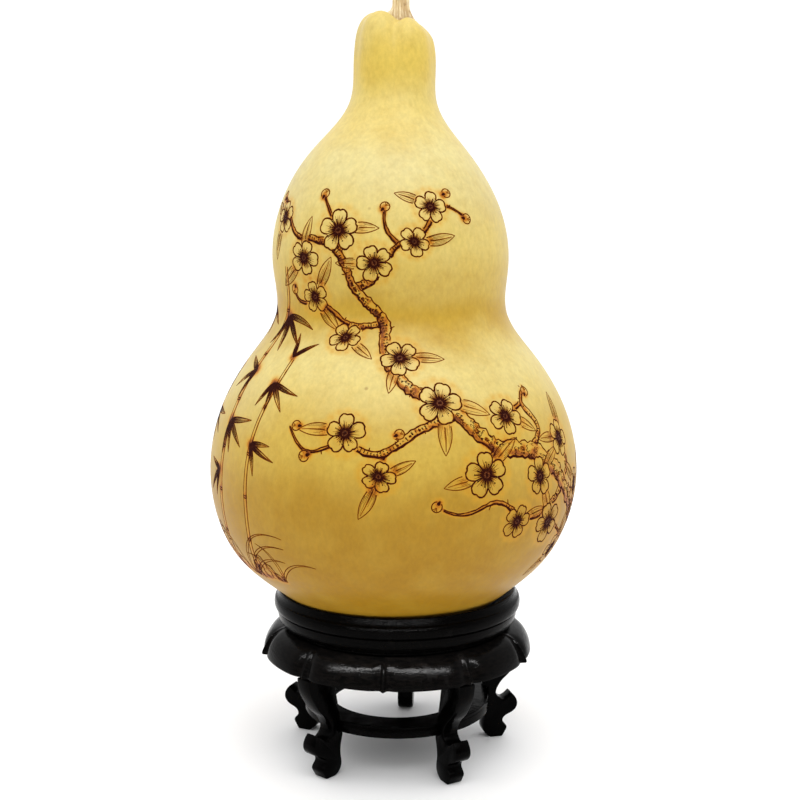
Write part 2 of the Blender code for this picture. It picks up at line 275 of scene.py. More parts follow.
def turned(name, outline, azimuths, closed=False):
    """A mesh of the outline, which runs down its outer side, turned about the Z axis."""
    points, rings = [], []
    for radius, height in outline:
        start = len(points)
        if radius < POLE:
            points.append((0.0, 0.0, height))
            rings.append([start])
            continue
        points.extend((radius * math.sin(a), -radius * math.cos(a), height) for a in azimuths)
        rings.append(range(start, len(points)))
    faces = []
    count = len(azimuths)
    for upper, lower in zip(rings, rings[1:] + (rings[:1] if closed else [])):
        for i in range(count):
            j = (i + 1) % count
            if len(upper) == 1:
                faces.append((upper[0], lower[i], lower[j]))
            elif len(lower) == 1:
                faces.append((upper[i], lower[0], upper[j]))
            else:
                faces.append((upper[i], lower[i], lower[j], upper[j]))
    mesh = bpy.data.meshes.new(name)
    mesh.from_pydata(points, [], faces)
    return mesh


def even_turn(count):
    return np.linspace(0.0, 2 * math.pi, count, endpoint=False)


def coordinates(mesh):
    flat = np.empty(len(mesh.vertices) * 3)
    mesh.vertices.foreach_get("co", flat)
    return flat.reshape(-1, 3)


def polar(points):
    """The radius of each point, and its azimuth in radians."""
    return np.hypot(points[:, 0], points[:, 1]), np.arctan2(points[:, 0], -points[:, 1])


def move_to(mesh, points):
    mesh.vertices.foreach_set("co", np.ascontiguousarray(points, np.float32).ravel())
    mesh.update()


def tag(mesh, name, values):
    """Stores a number for each point of the mesh."""
    mesh.attributes.new(name, "FLOAT", "POINT").data.foreach_set("value", values)


def smooth_shaded(mesh, degrees=SHARP):
    mesh.shade_smooth()
    mesh.set_sharp_from_angle(angle=math.radians(degrees))
    return mesh


def placed(name, data):
    """An object of the data, linked to the scene."""
    obj = bpy.data.objects.new(name, data)
    bpy.context.scene.collection.objects.link(obj)
    return obj


def piece(name, mesh, material, slot, *nodes):
    """A finished piece on the object's body, which stands for the CAD nodes named."""
    obj = placed(name, mesh)
    mesh.materials.clear()
    mesh.materials.append(material)
    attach(obj, BODY)
    if nodes:
        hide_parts(*nodes)
    return obj


def plain_mesh(obj):
    """The evaluated object as a plain mesh; the object that carried the modifiers goes."""
    graph = bpy.context.evaluated_depsgraph_get()
    mesh = bpy.data.meshes.new_from_object(obj.evaluated_get(graph))
    bpy.data.objects.remove(obj)
    return mesh


# Node trees


def node(tree, kind, inputs=None, **settings):
    """A node with its settings, whose inputs are given as values or as sockets to link from."""
    made = tree.nodes.new(kind)
    for key, value in settings.items():
        setattr(made, key, value)
    for key, value in (inputs or {}).items():
        socket = made.inputs[key]
        if isinstance(value, bpy.types.NodeSocket):
            tree.links.new(value, socket)
        else:
            socket.default_value = value
    return made


def maths(tree, operation, first, second, clamp=False):
    inputs = {0: first, 1: second}
    return node(tree, "ShaderNodeMath", inputs, operation=operation, use_clamp=clamp).outputs[0]


def blended(tree, share, first, second, way="MIX"):
    """Colour first turned into colour second by share."""
    inputs = {0: share, 6: first, 7: second}
    return node(tree, "ShaderNodeMix", inputs, data_type="RGBA", blend_type=way).outputs[2]


def ranged(tree, value, low, high, to_low=0.0, to_high=1.0):
    inputs = {"Value": value, "From Min": low, "From Max": high, "To Min": to_low, "To Max": to_high}
    return node(tree, "ShaderNodeMapRange", inputs).outputs["Result"]


def noise(tree, where, scale, detail=3.0, roughness=0.5, distortion=0.0):
    inputs = {"Vector": where, "Scale": scale, "Detail": detail, "Roughness": roughness}
    return node(tree, "ShaderNodeTexNoise", {**inputs, "Distortion": distortion}).outputs["Fac"]


def stretched(tree, where, scale):
    return node(tree, "ShaderNodeMapping", {"Vector": where, "Scale": scale}).outputs["Vector"]


def solid(colour):
    return (*colour, 1.0)


def ramped(tree, value, stops, interpolation="LINEAR"):
    """The colour at a value from 0 to 1, between stops that are each a position and a colour."""
    made = node(tree, "ShaderNodeValToRGB", {"Fac": value})
    ramp = made.color_ramp
    ramp.interpolation = interpolation
    while len(ramp.elements) < len(stops):
        ramp.elements.new(1.0)
    for element, (position, colour) in zip(ramp.elements, stops):
        element.position = position
        element.color = solid(colour)
    return made.outputs["Color"]


def tagged(tree, name):
    """A number stored in the mesh, for use in a material."""
    return node(tree, "ShaderNodeAttribute", attribute_name=name).outputs["Fac"]


def new_finish(name, **values):
    """A material with its tree, its shader, set to the values named, and the object coordinates."""
    material = bpy.data.materials.new(name)
    material.use_nodes = True
    tree = material.node_tree
    shader = tree.nodes["Principled BSDF"]
    for key, value in values.items():
        shader.inputs[key.replace("_", " ")].default_value = value
    return material, tree, shader, node(tree, "ShaderNodeTexCoord").outputs["Object"]


def relief(tree, shader, height, distance, strength):
    bump = node(tree, "ShaderNodeBump", {"Height": height, "Distance": distance, "Strength": strength})
    tree.links.new(bump.outputs["Normal"], shader.inputs["Normal"])


def with_inputs(modifier, **values):
    """Sets a Geometry Nodes modifier's inputs by the identifiers of its tree's sockets."""
    for item in modifier.node_group.interface.items_tree:
        if item.item_type == "SOCKET" and item.in_out == "INPUT" and item.name.lower() in values:
            modifier[item.identifier] = values[item.name.lower()]


def new_tree(name, **sockets):
    """A Geometry Nodes tree that takes a geometry and the named sockets, and gives a geometry."""
    tree = bpy.data.node_groups.new(name, "GeometryNodeTree")
    for key, kind in {"geometry": "Geometry", **sockets}.items():
        tree.interface.new_socket(key.capitalize(), in_out="INPUT", socket_type="NodeSocket" + kind)
    tree.interface.new_socket("Geometry", in_out="OUTPUT", socket_type="NodeSocketGeometry")
    return tree, tree.nodes.new("NodeGroupInput").outputs


def end_tree(tree, geometry, material):
    realized = node(tree, "GeometryNodeRealizeInstances", {"Geometry": geometry})
    painted = node(tree, "GeometryNodeSetMaterial", {"Geometry": realized.outputs[0], "Material": material})
    node(tree, "NodeGroupOutput", {0: painted.outputs[0]})


# The gourd's surface


class Skin:
    """The gourd's turned outline: where its surface is at an azimuth in degrees and a height."""

    def __init__(self):
        rows = np.array(smooth_run(GOURD_OUTLINE, GOURD_STEP))
        self.rows = rows
        self.heights = rows[::-1, 1]
        self.radii = rows[::-1, 0]
        self.leans = rows[::-1, 2]

    def spaced_outline(self):
        """Rows that are closer together where the drawing is."""
        steps = np.linalg.norm(np.diff(self.rows[:, :2], axis=0), axis=1)
        middle = (self.rows[1:, 1] + self.rows[:-1, 1]) / 2
        inside = (middle > DRAWN_BAND[0]) & (middle < DRAWN_BAND[1])
        density = np.where(inside, DRAWN_DENSITY, np.where(middle > FURROW_FULL, CROWN_DENSITY, 1.0))
        along = np.concatenate([[0.0], np.cumsum(steps * density)])
        wanted = np.linspace(0.0, along[-1], GOURD_ROWS)
        radii = np.interp(wanted, along, self.rows[:, 0])
        heights = np.interp(wanted, along, self.rows[:, 1])
        scar = [(SCAR_RADIUS * ring / SCAR_RINGS, CROWN_HEIGHT) for ring in range(SCAR_RINGS)]
        return [*scar, *zip(radii, heights)]

    def radius(self, height):
        return float(np.interp(height, self.heights, self.radii))

    def lean(self, height):
        return np.interp(height, self.heights, self.leans)

    def point(self, azimuth, height):
        turn, radius = math.radians(azimuth), self.radius(height)
        return Vector((radius * math.sin(turn) + float(self.lean(height)), -radius * math.cos(turn), height))

    def patch(self, azimuth, height):
        """(point, direction across, direction up) of the skin there."""
        turn = math.radians(azimuth)
        slope = (self.radius(height + MM) - self.radius(height - MM)) / (2 * MM)
        across = Vector((math.cos(turn), math.sin(turn), 0.0))
        up = Vector((slope * math.sin(turn), -slope * math.cos(turn), 1.0)).normalized()
        return self.point(azimuth, height), across, up


def grown(points, normals, skin):
    """The turned gourd's points, furrowed, leaned and tilted as it grew."""
    radius, azimuth = polar(points)
    height = points[:, 2]
    furrow = (0.5 + 0.5 * np.cos(FURROWS * azimuth)) ** FURROW_SHARPNESS
    furrow = (furrow - FURROW_AT_SIDES) * FURROW_DEPTH * smoothstep(height, FURROW_FROM, FURROW_FULL)
    crown = height > FURROW_FULL
    furrow = np.where(crown, furrow * smoothstep(radius, SCAR_RADIUS, LOBE_RADIUS), furrow)
    crease = CREASE_DEPTH * np.exp(-((radius * np.sin(azimuth) / CREASE_HALF) ** 2))
    crease *= smoothstep(height, CREASE_FROM, CREASE_FULL)
    crease *= smoothstep(radius * np.cos(azimuth), 0.0, CREASE_SCAR)
    moved = points - normals * (furrow + crease)[:, None]
    shift = STEM_SHIFT * (1 - np.minimum(radius / SHIFT_REACH, 1.0) ** 2) ** 2
    moved[:, 0] += np.where(crown, shift, 0.0)
    tilt = np.clip((height - TILT_FROM) / (CROWN_HEIGHT - TILT_FROM), 0.0, 1.0) ** 2
    moved[:, 2] -= CROWN_TILT * tilt * moved[:, 0]
    moved[:, 0] += skin.lean(height)
    return moved


# The burnt drawing
#
# Numbers in the strokes are shares of the motif's own size or the ends of a random share; angles are
# in degrees up to the point where they are turned into radians.


class Drawing:
    """Burnt lines for the ribbons, and soft scorch marks for the skin under them.

    What is drawn first lies in front: the round places it keeps clear hide what is drawn later.
    """

    def __init__(self, skin, seed):
        self.skin = skin
        self.dice = random.Random(seed)
        self.points, self.edges = [], []
        self.numbers = {"half_width": [], "burn": [], "singed": []}
        self.scorches = []
        self.kept_clear = {}

    def hidden(self, point):
        cell = tuple(math.floor(value / CELL) for value in point)
        near = self.kept_clear.get(cell, ())
        return any((point - centre).length_squared < reach * reach for centre, reach in near)

    def line(self, points, half_width, burn, singed=1.0):
        """A burnt line; half_width and burn are each one number or one for each point.

        A singed line has amber edges.
        """
        widths = half_width if hasattr(half_width, "__len__") else [half_width] * len(points)
        burns = burn if hasattr(burn, "__len__") else [burn] * len(points)
        previous = None
        for point, width, shade in zip(points, widths, burns):
            if self.hidden(point):
                previous = None
                continue
            self.points.append(point)
            for values, value in zip(self.numbers.values(), (width, shade, singed)):
                values.append(value)
            if previous is not None:
                self.edges.append((previous, len(self.points) - 1))
            previous = len(self.points) - 1

    def scorch(self, point, reach, strength):
        if not self.hidden(point):
            self.scorches.append((point, reach, strength))

    def scorch_along(self, points, reaches, depth):
        """Scorches an even band along points, depth deep at its middle."""
        for i, (point, reach) in enumerate(zip(points, reaches)):
            step = (points[min(i + 1, len(points) - 1)] - points[max(i - 1, 0)]).length / 2
            share = 1 - (1 - depth) ** (step / (reach * math.sqrt(math.pi)))
            self.scorch(point, reach, min(share, depth))

    def keep_clear(self, point, reach):
        low = [math.floor((value - reach) / CELL) for value in point]
        high = [math.floor((value + reach) / CELL) for value in point]
        for cell in itertools.product(*(range(a, b + 1) for a, b in zip(low, high))):
            self.kept_clear.setdefault(cell, []).append((point, reach))

    def keep_clear_along(self, points, reaches):
        """Hides what comes later behind a band."""
        for point, reach in zip(points, reaches):
            self.keep_clear(point, reach)

    def mesh(self):
        mesh = bpy.data.meshes.new("burnt_paths")
        mesh.from_pydata(self.points, self.edges, [])
        for name, values in self.numbers.items():
            tag(mesh, name, values)
        return mesh

    def scorch_of(self, points):
        """How scorched the skin is at each of the points, 0 to 1."""
        tree = KDTree(len(points))
        for index, point in enumerate(points):
            tree.insert(point, index)
        tree.balance()
        unburnt = np.ones(len(points))
        for centre, reach, strength in self.scorches:
            for _, index, distance in tree.find_range(centre, SCORCH_REACH * reach):
                unburnt[index] *= 1 - strength * math.exp(-((distance / reach) ** 2))
        return 1 - unburnt


def on_patch(patch, along, aside, heading=0.0):
    """The point that lies along and aside of a heading on a patch of the skin."""
    origin, across, up = patch
    cosine, sine = math.cos(heading), math.sin(heading)
    return origin + across * (along * cosine - aside * sine) + up * (along * sine + aside * cosine)


def tapered(count, half_width, end=0.35):
    """Half widths that thin out towards the line's far end."""
    return [half_width * (1 - (1 - end) * (i / (count - 1)) ** 1.5) for i in range(count)]


def draw_blossom(drawing, azimuth, height, radius, turn, facing):
    """A five-petalled blossom, foreshortened along the direction of its turn by facing."""
    dice = drawing.dice
    patch = drawing.skin.patch(azimuth, height)
    turn, squeeze = math.radians(turn), math.cos(math.radians(facing))

    def spot(angle, reach):
        return on_patch(patch, reach * math.cos(angle) * squeeze, reach * math.sin(angle), turn)

    def stroke(angle, reaches, widths, burns):
        drawing.line([spot(angle, reach) for reach in reaches], widths, burns, singed=0.0)

    petal = 2 * math.pi / PETALS
    for number in range(PETALS):
        middle = number * petal + dice.uniform(-0.06, 0.06)
        size = radius * dice.uniform(0.92, 1.04)
        outline = []
        for step in range(13):
            share = step / 6 - 1
            reach = size * (1 - abs(share) ** 3.2 * 0.42) * (1 - 0.05 * math.exp(-((share / 0.14) ** 2)))
            reach *= dice.uniform(0.985, 1.015)
            outline.append(spot(middle + share * petal * 0.49, reach))
        widths = [radius * dice.uniform(0.034, 0.058) for _ in outline]
        drawing.line(outline, widths, dice.uniform(0.85, 1.0))
        for ray in range(RAYS):
            swing = (ray / (RAYS - 1) - 0.5) * petal * 0.88 + dice.uniform(-0.03, 0.03)
            start, end = 0.15, dice.uniform(0.42, 0.74)
            reaches = [size * (start + (end - start) * i / 2) for i in range(3)]
            stroke(middle + swing, reaches, tapered(3, radius * 0.025), (1.0, 0.85, 0.5))
        for side in (-1, 1):
            reaches = [size * (0.2 + 0.38 * i / 2) for i in range(3)]
            stroke(middle + side * petal * 0.47, reaches, radius * 0.024, 0.9)
    for stamen in range(STAMENS):
        angle = stamen * 2 * math.pi / STAMENS + dice.uniform(-0.12, 0.12)
        length = radius * dice.uniform(0.40, 0.60)
        stroke(angle, [length * (0.2 + 0.8 * i / 3) for i in range(4)], radius * 0.018, 1.0)
        tip = [length + radius * 0.025 * i for i in range(3)]
        stroke(angle, tip, (radius * 0.03, radius * 0.06, radius * 0.03), 1.0)
    heart = [radius * 0.09 * (i - 1) for i in range(3)]
    stroke(0.0, heart, (radius * 0.05, radius * 0.1, radius * 0.05), 1.0)
    drawing.scorch(patch[0], radius * 0.26, 0.90)
    drawing.scorch(patch[0], radius * 0.55, 0.34)
    for number in range(3 * PETALS):
        drawing.scorch(spot(number * 2 * math.pi / (3 * PETALS), radius * 1.10), radius * 0.20, 0.26)
    shown = 0.5 + 0.5 * squeeze
    for number in range(PETALS):
        drawing.keep_clear(spot(number * petal, radius * 0.58), radius * 0.40 * shown)
    drawing.keep_clear(patch[0], radius * 0.60 * shown)


def draw_bud(drawing, azimuth, height, radius, turn):
    """A closed round bud on its little dark cup."""
    patch = drawing.skin.patch(azimuth, height)
    turn = math.radians(turn)

    def spot(angle, reach):
        return on_patch(patch, reach * math.cos(angle + turn), reach * math.sin(angle + turn))

    ring = [spot(math.pi * (0.16 + 1.68 * i / 12), radius) for i in range(13)]
    drawing.line(ring, radius * 0.11, 0.95)
    for share in (-0.5, 0.0, 0.5):
        turns = [math.pi * (1 + share * 0.35 * (1 - i / 4)) for i in range(3)]
        fold = [spot(angle, radius * (1 - 0.42 * i)) for i, angle in enumerate(turns)]
        drawing.line(fold, tapered(3, radius * 0.08), 0.8)
    cup = [spot(0.0, radius * (0.35 + 0.3 * i)) for i in range(4)]
    drawing.line(cup, [radius * width for width in (0.20, 0.5, 0.3, 0.12)], 1.0)
    drawing.scorch(patch[0], radius, 0.35)
    drawing.scorch(spot(0.0, radius * 0.9), radius * 0.8, 0.55)
    drawing.keep_clear(patch[0], radius * 0.98)


def branch_path(drawing, stations):
    """(points, sides, half widths) along a branch; a station is azimuth, height in mm, half width in mm."""
    skin = drawing.skin
    run = smooth_run(stations, BRANCH_STEP)
    points = [skin.point(azimuth, height * MM) for azimuth, height, _ in run]
    sides, widths = [], []
    for i, (azimuth, height, width) in enumerate(run):
        _, across, up = skin.patch(azimuth, height * MM)
        heading = points[min(i + 1, len(points) - 1)] - points[max(i - 1, 0)]
        sides.append(across.cross(up).cross(heading).normalized())
        widths.append(max(width, THINNEST) * MM)
    return points, sides, widths


def draw_branch(drawing, stations):
    """A gnarled branch: an outline that is heavier underneath, bark, spurs and a scorched body."""
    points, sides, widths = branch_path(drawing, stations)
    draw_branch_edges(drawing, points, sides, widths)
    for i in range(1, len(points) - 1):
        forward = (points[i + 1] - points[i - 1]).normalized()
        draw_bark(drawing, points[i], sides[i], forward, widths[i])
    low = [p + s * w * (0.75 if s.z < 0 else -0.75) for p, s, w in zip(points, sides, widths)]
    high = [point * 2 - under for point, under in zip(points, low)]
    for line, (share, least, depth) in zip((points, low, high), BRANCH_SCORCHES):
        drawing.scorch_along(line, [max(width * share, least * MM) for width in widths], depth)
    drawing.keep_clear_along(points, [width * 0.93 for width in widths])


def draw_branch_edges(drawing, points, sides, widths):
    """Two uneven lines that meet at the tip."""
    dice = drawing.dice
    ripple = [0.0, 0.0]
    edges = ([], [])
    for point, side, width in zip(points, sides, widths):
        for k, sign in enumerate((1, -1)):
            ripple[k] += 0.55 * (dice.gauss(0, 0.34) - ripple[k])
            edges[k].append(point + side * sign * width * (1 + ripple[k]))
    edges[0].append(points[-1] + (points[-1] - points[-2]) * 0.5)
    edges[1].append(edges[0][-1])
    for k, sign in enumerate((1, -1)):
        lines = []
        for side, width in zip([*sides, sides[-1]], [*widths, widths[-1]]):
            under = max(0.0, -sign * side.z)
            weight = (0.33 + 0.36 * under) * MM * dice.uniform(0.7, 1.35)
            lines.append(min(weight, width * 0.75 + 0.10 * MM))
        drawing.line(edges[k], lines, [dice.uniform(0.82, 1.0) for _ in lines])


def draw_bark(drawing, point, side, forward, width):
    """What is on one step of a branch: bowed marks, now and then a knot, a spur or a scorched spot."""
    dice = drawing.dice
    for _ in range(BARK_MARKS if width > 0.9 * MM else 0):
        if dice.random() < 0.55:
            start = dice.choice((-1, 1)) * dice.uniform(0.1, 0.95)
            span = -math.copysign(dice.uniform(0.15, 0.5), start)
            bow = dice.uniform(0.2, 0.5) * width
            mark = []
            for j in range(4):
                across = side * width * (start + span * j / 3)
                mark.append(point + across + forward * bow * math.sin(math.pi * j / 3))
            half_width = BARK_LINE * dice.uniform(0.8, 1.5)
            drawing.line(mark, half_width, dice.uniform(0.8, 1.0), singed=0.0)
    if width > 1.4 * MM and dice.random() < 0.12:
        draw_knot(drawing, point, side, forward, width * dice.uniform(0.28, 0.42))
    if dice.random() < 0.10:
        sign = dice.choice((-1, 1))
        root = point + side * sign * width
        out = (side * sign + forward * dice.uniform(-0.4, 0.8)).normalized()
        length = dice.uniform(0.8, 2.4) * MM
        spur = [root + out * length * j / 2 for j in range(3)]
        drawing.line(spur, tapered(3, SPUR_LINE, 0.4), 1.0)
    if width > 1.2 * MM and dice.random() < 0.30:
        spot = point + side * width * dice.uniform(-0.7, 0.7)
        drawing.scorch(spot, dice.uniform(0.7, 1.4) * MM, 0.60)


def draw_knot(drawing, centre, side, forward, size):
    for scale, burn in ((1.0, 0.85), (0.5, 1.0)):
        ring = [
            centre + (side * math.cos(a) * 0.75 + forward * math.sin(a)) * size * scale
            for a in np.linspace(0.4, 2 * math.pi + 0.2, 10)
        ]
        drawing.line(ring, (0.12 + 0.10 * (1 - scale)) * MM, burn)
    drawing.scorch(centre, size * 0.8, 0.5)


def draw_leaf(drawing, azimuth, height, length, half_width, heading, bow, belly=0.62):
    """A long pointed leaf, hatched from its root and bent by bow; a greater belly is nearer the point."""
    dice = drawing.dice
    patch = drawing.skin.patch(azimuth, height)
    heading = math.radians(heading)

    def spot(share, aside):
        bent = bow * length * share * share
        spread = aside * half_width * max(math.sin(math.pi * min(share, 1.0) ** belly), 0.0) ** 0.9
        return on_patch(patch, share * length, bent + spread, heading)

    shares = np.linspace(0.0, 1.0, max(6, round(length / (1.7 * MM))))
    for side in (-1, 1):
        drawing.line([spot(s, side) for s in shares], tapered(len(shares), LEAF_EDGE, 0.5), 1.0)
    drawing.line([spot(s, 0) for s in shares[:-1]], tapered(len(shares) - 1, LEAF_RIB), 0.95)
    for hatch in range(LEAF_HATCHES):
        aside = (hatch / (LEAF_HATCHES - 1) - 0.5) * 1.6
        end = dice.uniform(0.45, 0.9)
        points = [spot(0.04 + end * i / 4, aside) for i in range(5)]
        drawing.line(points, tapered(5, LEAF_HATCH), (1.0, 1.0, 0.95, 0.8, 0.6), singed=0.0)
    along = [spot(share, 0) for share in np.linspace(0.05, 0.85, max(4, round(length / (2.2 * MM))))]
    drawing.scorch_along(along, [half_width * 1.1] * len(along), 0.26)
    drawing.scorch_along(along[: len(along) // 2], [half_width * 0.7] * (len(along) // 2), 0.55)
    if belly > 1:
        shares = np.linspace(0.14, 0.92, 11)
        reaches = [half_width * 0.8 * math.sin(math.pi * share**belly) for share in shares]
        drawing.keep_clear_along([spot(share, 0) for share in shares], reaches)


def draw_spray(drawing, azimuth, height, heading, leaves, length):
    """Leaves that hang from one joint."""
    dice = drawing.dice
    for number in range(leaves):
        share = number / max(leaves - 1, 1) - 0.5
        draw_leaf(
            drawing,
            azimuth,
            height,
            length * dice.uniform(0.75, 1.1) * (1 - 0.25 * abs(share)),
            length * dice.uniform(0.062, 0.078),
            heading + share * 26 * leaves + dice.uniform(-6, 6),
            bow=dice.uniform(-0.16, 0.16),
        )
    drawing.scorch(drawing.skin.point(azimuth, height), length * 0.16, 0.6)


def draw_cane(drawing, foot, top, half_width, joints):
    """A cane between two places (azimuth, height in mm), with rings at its joints."""
    dice = drawing.dice
    stations = []
    for t in np.linspace(0.0, 1.0, 7):
        azimuth = foot[0] + (top[0] - foot[0]) * t + 1.2 * math.sin(2.2 * math.pi * t)
        stations.append((azimuth, foot[1] + (top[1] - foot[1]) * t, half_width * (1 - 0.35 * t)))
    points, sides, widths = branch_path(drawing, stations)
    count = len(points)
    at_joint = {round((number + 1) * (count - 1) / (joints + 1)) for number in range(joints)}
    for sign, weight in ((-1, 0.32), (1, 0.20)):
        edge, lines = [], []
        for i in range(count):
            swell = 1.28 if i in at_joint else 1.0
            edge.append(points[i] + sides[i] * sign * widths[i] * swell)
            lines.append(weight * MM * dice.uniform(0.8, 1.2))
        drawing.line(edge, lines, 0.9)
    for i in at_joint:
        for lift in (-0.5, 0.5):
            ring = []
            for s in (-1, -0.5, 0, 0.5, 1):
                sag = Vector((0, 0, (lift - 0.35 * (1 - s * s)) * MM))
                ring.append(points[i] + sides[i] * widths[i] * 1.25 * s + sag)
            drawing.line(ring, JOINT_RING, 1.0)
        drawing.scorch(points[i], widths[i] * 1.5, 0.5)
    shaded = [points[i] - sides[i] * widths[i] * 0.6 for i in range(count)]
    drawing.scorch_along(shaded, [width * 0.8 for width in widths], 0.45)


ROCK_CORNERS = (
    (-1.0, -0.52), (-1.08, -0.10), (-0.78, 0.22), (-0.70, 0.62), (-0.36, 0.80), (-0.16, 1.16),
    (0.14, 1.08), (0.30, 0.70), (0.62, 0.58), (0.70, 0.16), (1.02, -0.06), (1.10, -0.50),
)
ROCK_CRACKS = (
    ((-0.16, 1.10), (-0.22, 0.70), (-0.05, 0.42), (-0.18, 0.05), (-0.02, -0.40)),
    ((0.30, 0.70), (0.22, 0.36), (0.36, 0.08), (0.24, -0.42)),
    ((-0.70, 0.60), (-0.56, 0.30), (-0.60, 0.02), (-0.46, -0.46)),
    ((0.70, 0.16), (0.60, -0.10), (0.66, -0.46)),
    ((-0.56, 0.30), (-0.34, 0.36), (-0.20, 0.56)),
)


def draw_rock(drawing, azimuth, height, size):
    """A weathered rock: broken outline, cracks and hatching, darker at its foot."""
    dice = drawing.dice
    patch = drawing.skin.patch(azimuth, height)
    outline = []
    for first, second in zip(ROCK_CORNERS, ROCK_CORNERS[1:]):
        for i in range(5):
            across = first[0] + (second[0] - first[0]) * (i / 5) + dice.gauss(0, 0.02)
            up = first[1] + (second[1] - first[1]) * (i / 5) + dice.gauss(0, 0.02)
            outline.append(on_patch(patch, across * size, up * size))
    drawing.line(outline, [dice.uniform(0.22, 0.52) * MM for _ in outline], 1.0)
    for crack in ROCK_CRACKS:
        points = []
        for first, second in zip(crack, crack[1:]):
            for i in range(4):
                across = first[0] + (second[0] - first[0]) * i / 4 + dice.gauss(0, 0.015)
                up = first[1] + (second[1] - first[1]) * i / 4
                points.append(on_patch(patch, across * size, up * size))
        drawing.line(points, [dice.uniform(0.16, 0.34) * MM for _ in points], 1.0)
        for point in points:
            drawing.scorch(point, size * 0.12, 0.22)
        for point in points[1::2]:
            for _ in range(2):
                way = patch[1] * dice.uniform(0.4, 1.0) + patch[2] * dice.uniform(-0.8, -0.2)
                start = point + way * dice.uniform(0.02, 0.10) * size
                hatch = [start + way * size * 0.07 * j for j in range(3)]
                drawing.line(hatch, tapered(3, ROCK_HATCH), 0.75, singed=0.0)
    for _ in range(40):
        across, up = dice.uniform(-0.95, 1.0), dice.uniform(-0.5, -0.15)
        drawing.scorch(on_patch(patch, across * size, up * size), size * 0.16, 0.16)


def draw_blade(drawing, azimuth, height, length, heading, droop):
    """A long grass blade that rises and bends over."""
    patch = drawing.skin.patch(azimuth, height)
    count = max(6, round(length / (2.0 * MM)))
    for side in (-1, 1):
        points = []
        for i in range(count):
            share = i / (count - 1)
            turn = math.radians(heading) + droop * share * share
            spread = side * 0.75 * MM * math.sin(math.pi * (0.12 + 0.88 * share))
            points.append(on_patch(patch, length * share, spread, turn))
            if side > 0:
                drawing.scorch(points[-1], 1.2 * MM, 0.45 * (1 - 0.6 * share))
        drawing.line(points, tapered(count, BLADE_LINE, 0.5), 1.0)


BLOSSOMS = (
    # azimuth, height, radius in mm, turn, facing
    (-24, 252, 9.6, 20, 0), (-43, 240, 8.6, 70, 25), (-7, 238, 8.4, 110, 15), (-62, 258, 8.0, 30, 30),
    (20, 262, 7.6, 10, 20), (3, 198, 8.8, 45, 0), (-20, 206, 7.8, 120, 30), (15, 180, 9.8, 0, 10),
    (37, 173, 9.0, 60, 20), (27, 150, 10.2, 95, 0), (47, 146, 8.8, 20, 25), (61, 160, 8.8, 0, 30),
    (53, 124, 9.6, 40, 10), (72, 136, 8.6, 10, 35), (-14, 168, 8.8, 15, 10), (-4, 151, 7.8, 70, 35),
    (38, 128, 8.0, 140, 25), (-38, 223, 7.4, 30, 20), (11, 247, 7.2, 60, 30), (64, 108, 8.2, 100, 20),
)
BUDS = (
    # azimuth, height, radius in mm, direction of its stalk
    (-34, 268, 2.2, 250), (-71, 268, 2.2, 300), (30, 268, 2.1, 200), (39, 257, 2.3, 170), (-52, 226, 2.2, 60),
    (-26, 158, 2.4, 20), (-30, 170, 2.2, 0), (66, 116, 2.3, 110), (12, 138, 2.3, 60),
    (82, 150, 2.3, 200), (2, 168, 2.1, 200), (50, 182, 2.2, 240), (-2, 262, 2.1, 230),
)
BRANCHES = (
    # azimuth, height in mm, half width in mm
    ((92, 112, 4.2), (74, 124, 3.9), (60, 141, 3.6), (44, 158, 3.4), (30, 163, 3.0), (20, 176, 2.8),
     (6, 186, 2.6), (-2, 200, 2.3), (-4, 214, 2.0), (-16, 226, 1.8), (-22, 240, 1.5), (-34, 248, 1.2),
     (-48, 250, 0.9), (-60, 262, 0.6), (-72, 268, 0.3)),
    ((-16, 227, 1.5), (-6, 233, 1.2), (4, 246, 0.9), (16, 252, 0.8), (24, 262, 0.5), (38, 258, 0.25)),
    ((20, 175, 1.9), (6, 168, 1.5), (-6, 160, 1.2), (-14, 164, 0.8), (-24, 160, 0.5), (-32, 169, 0.25)),
    ((60, 141, 1.9), (52, 132, 1.5), (40, 130, 1.1), (30, 138, 0.8), (20, 134, 0.5), (12, 138, 0.25)),
    ((44, 158, 1.4), (50, 168, 1.1), (46, 178, 0.8), (50, 184, 0.3)),
    ((-22, 240, 0.9), (-26, 254, 0.6), (-34, 267, 0.25)),
    ((74, 124, 1.5), (80, 138, 1.1), (78, 146, 0.8), (83, 151, 0.3)),
    ((-4, 212, 1.2), (-20, 212, 0.9), (-34, 220, 0.7), (-50, 222, 0.4), (-53, 227, 0.2)),
    ((60, 141, 1.0), (64, 150, 0.7), (60, 158, 0.4)),
    ((4, 246, 0.7), (-2, 254, 0.5), (-2, 262, 0.2)),
    ((52, 132, 1.0), (58, 122, 0.7), (66, 115, 0.3)),
    ((4, 166, 0.8), (-2, 160, 0.6), (-4, 152, 0.4)),
    ((31, 162, 1.1), (29, 156, 0.9), (27, 150, 0.6)),
    ((46, 178, 0.9), (42, 176, 0.7), (37, 173, 0.5)),
    ((74, 122, 1.3), (70, 114, 1.0), (64, 108, 0.6)),
)
CANES = (
    # foot and top as azimuth and height in mm, half width in mm, joints
    ((-66, 98), (-58, 236), 1.5, 6), ((-80, 94), (-86, 226), 1.7, 6), ((-52, 97), (-42, 196), 1.1, 4),
)
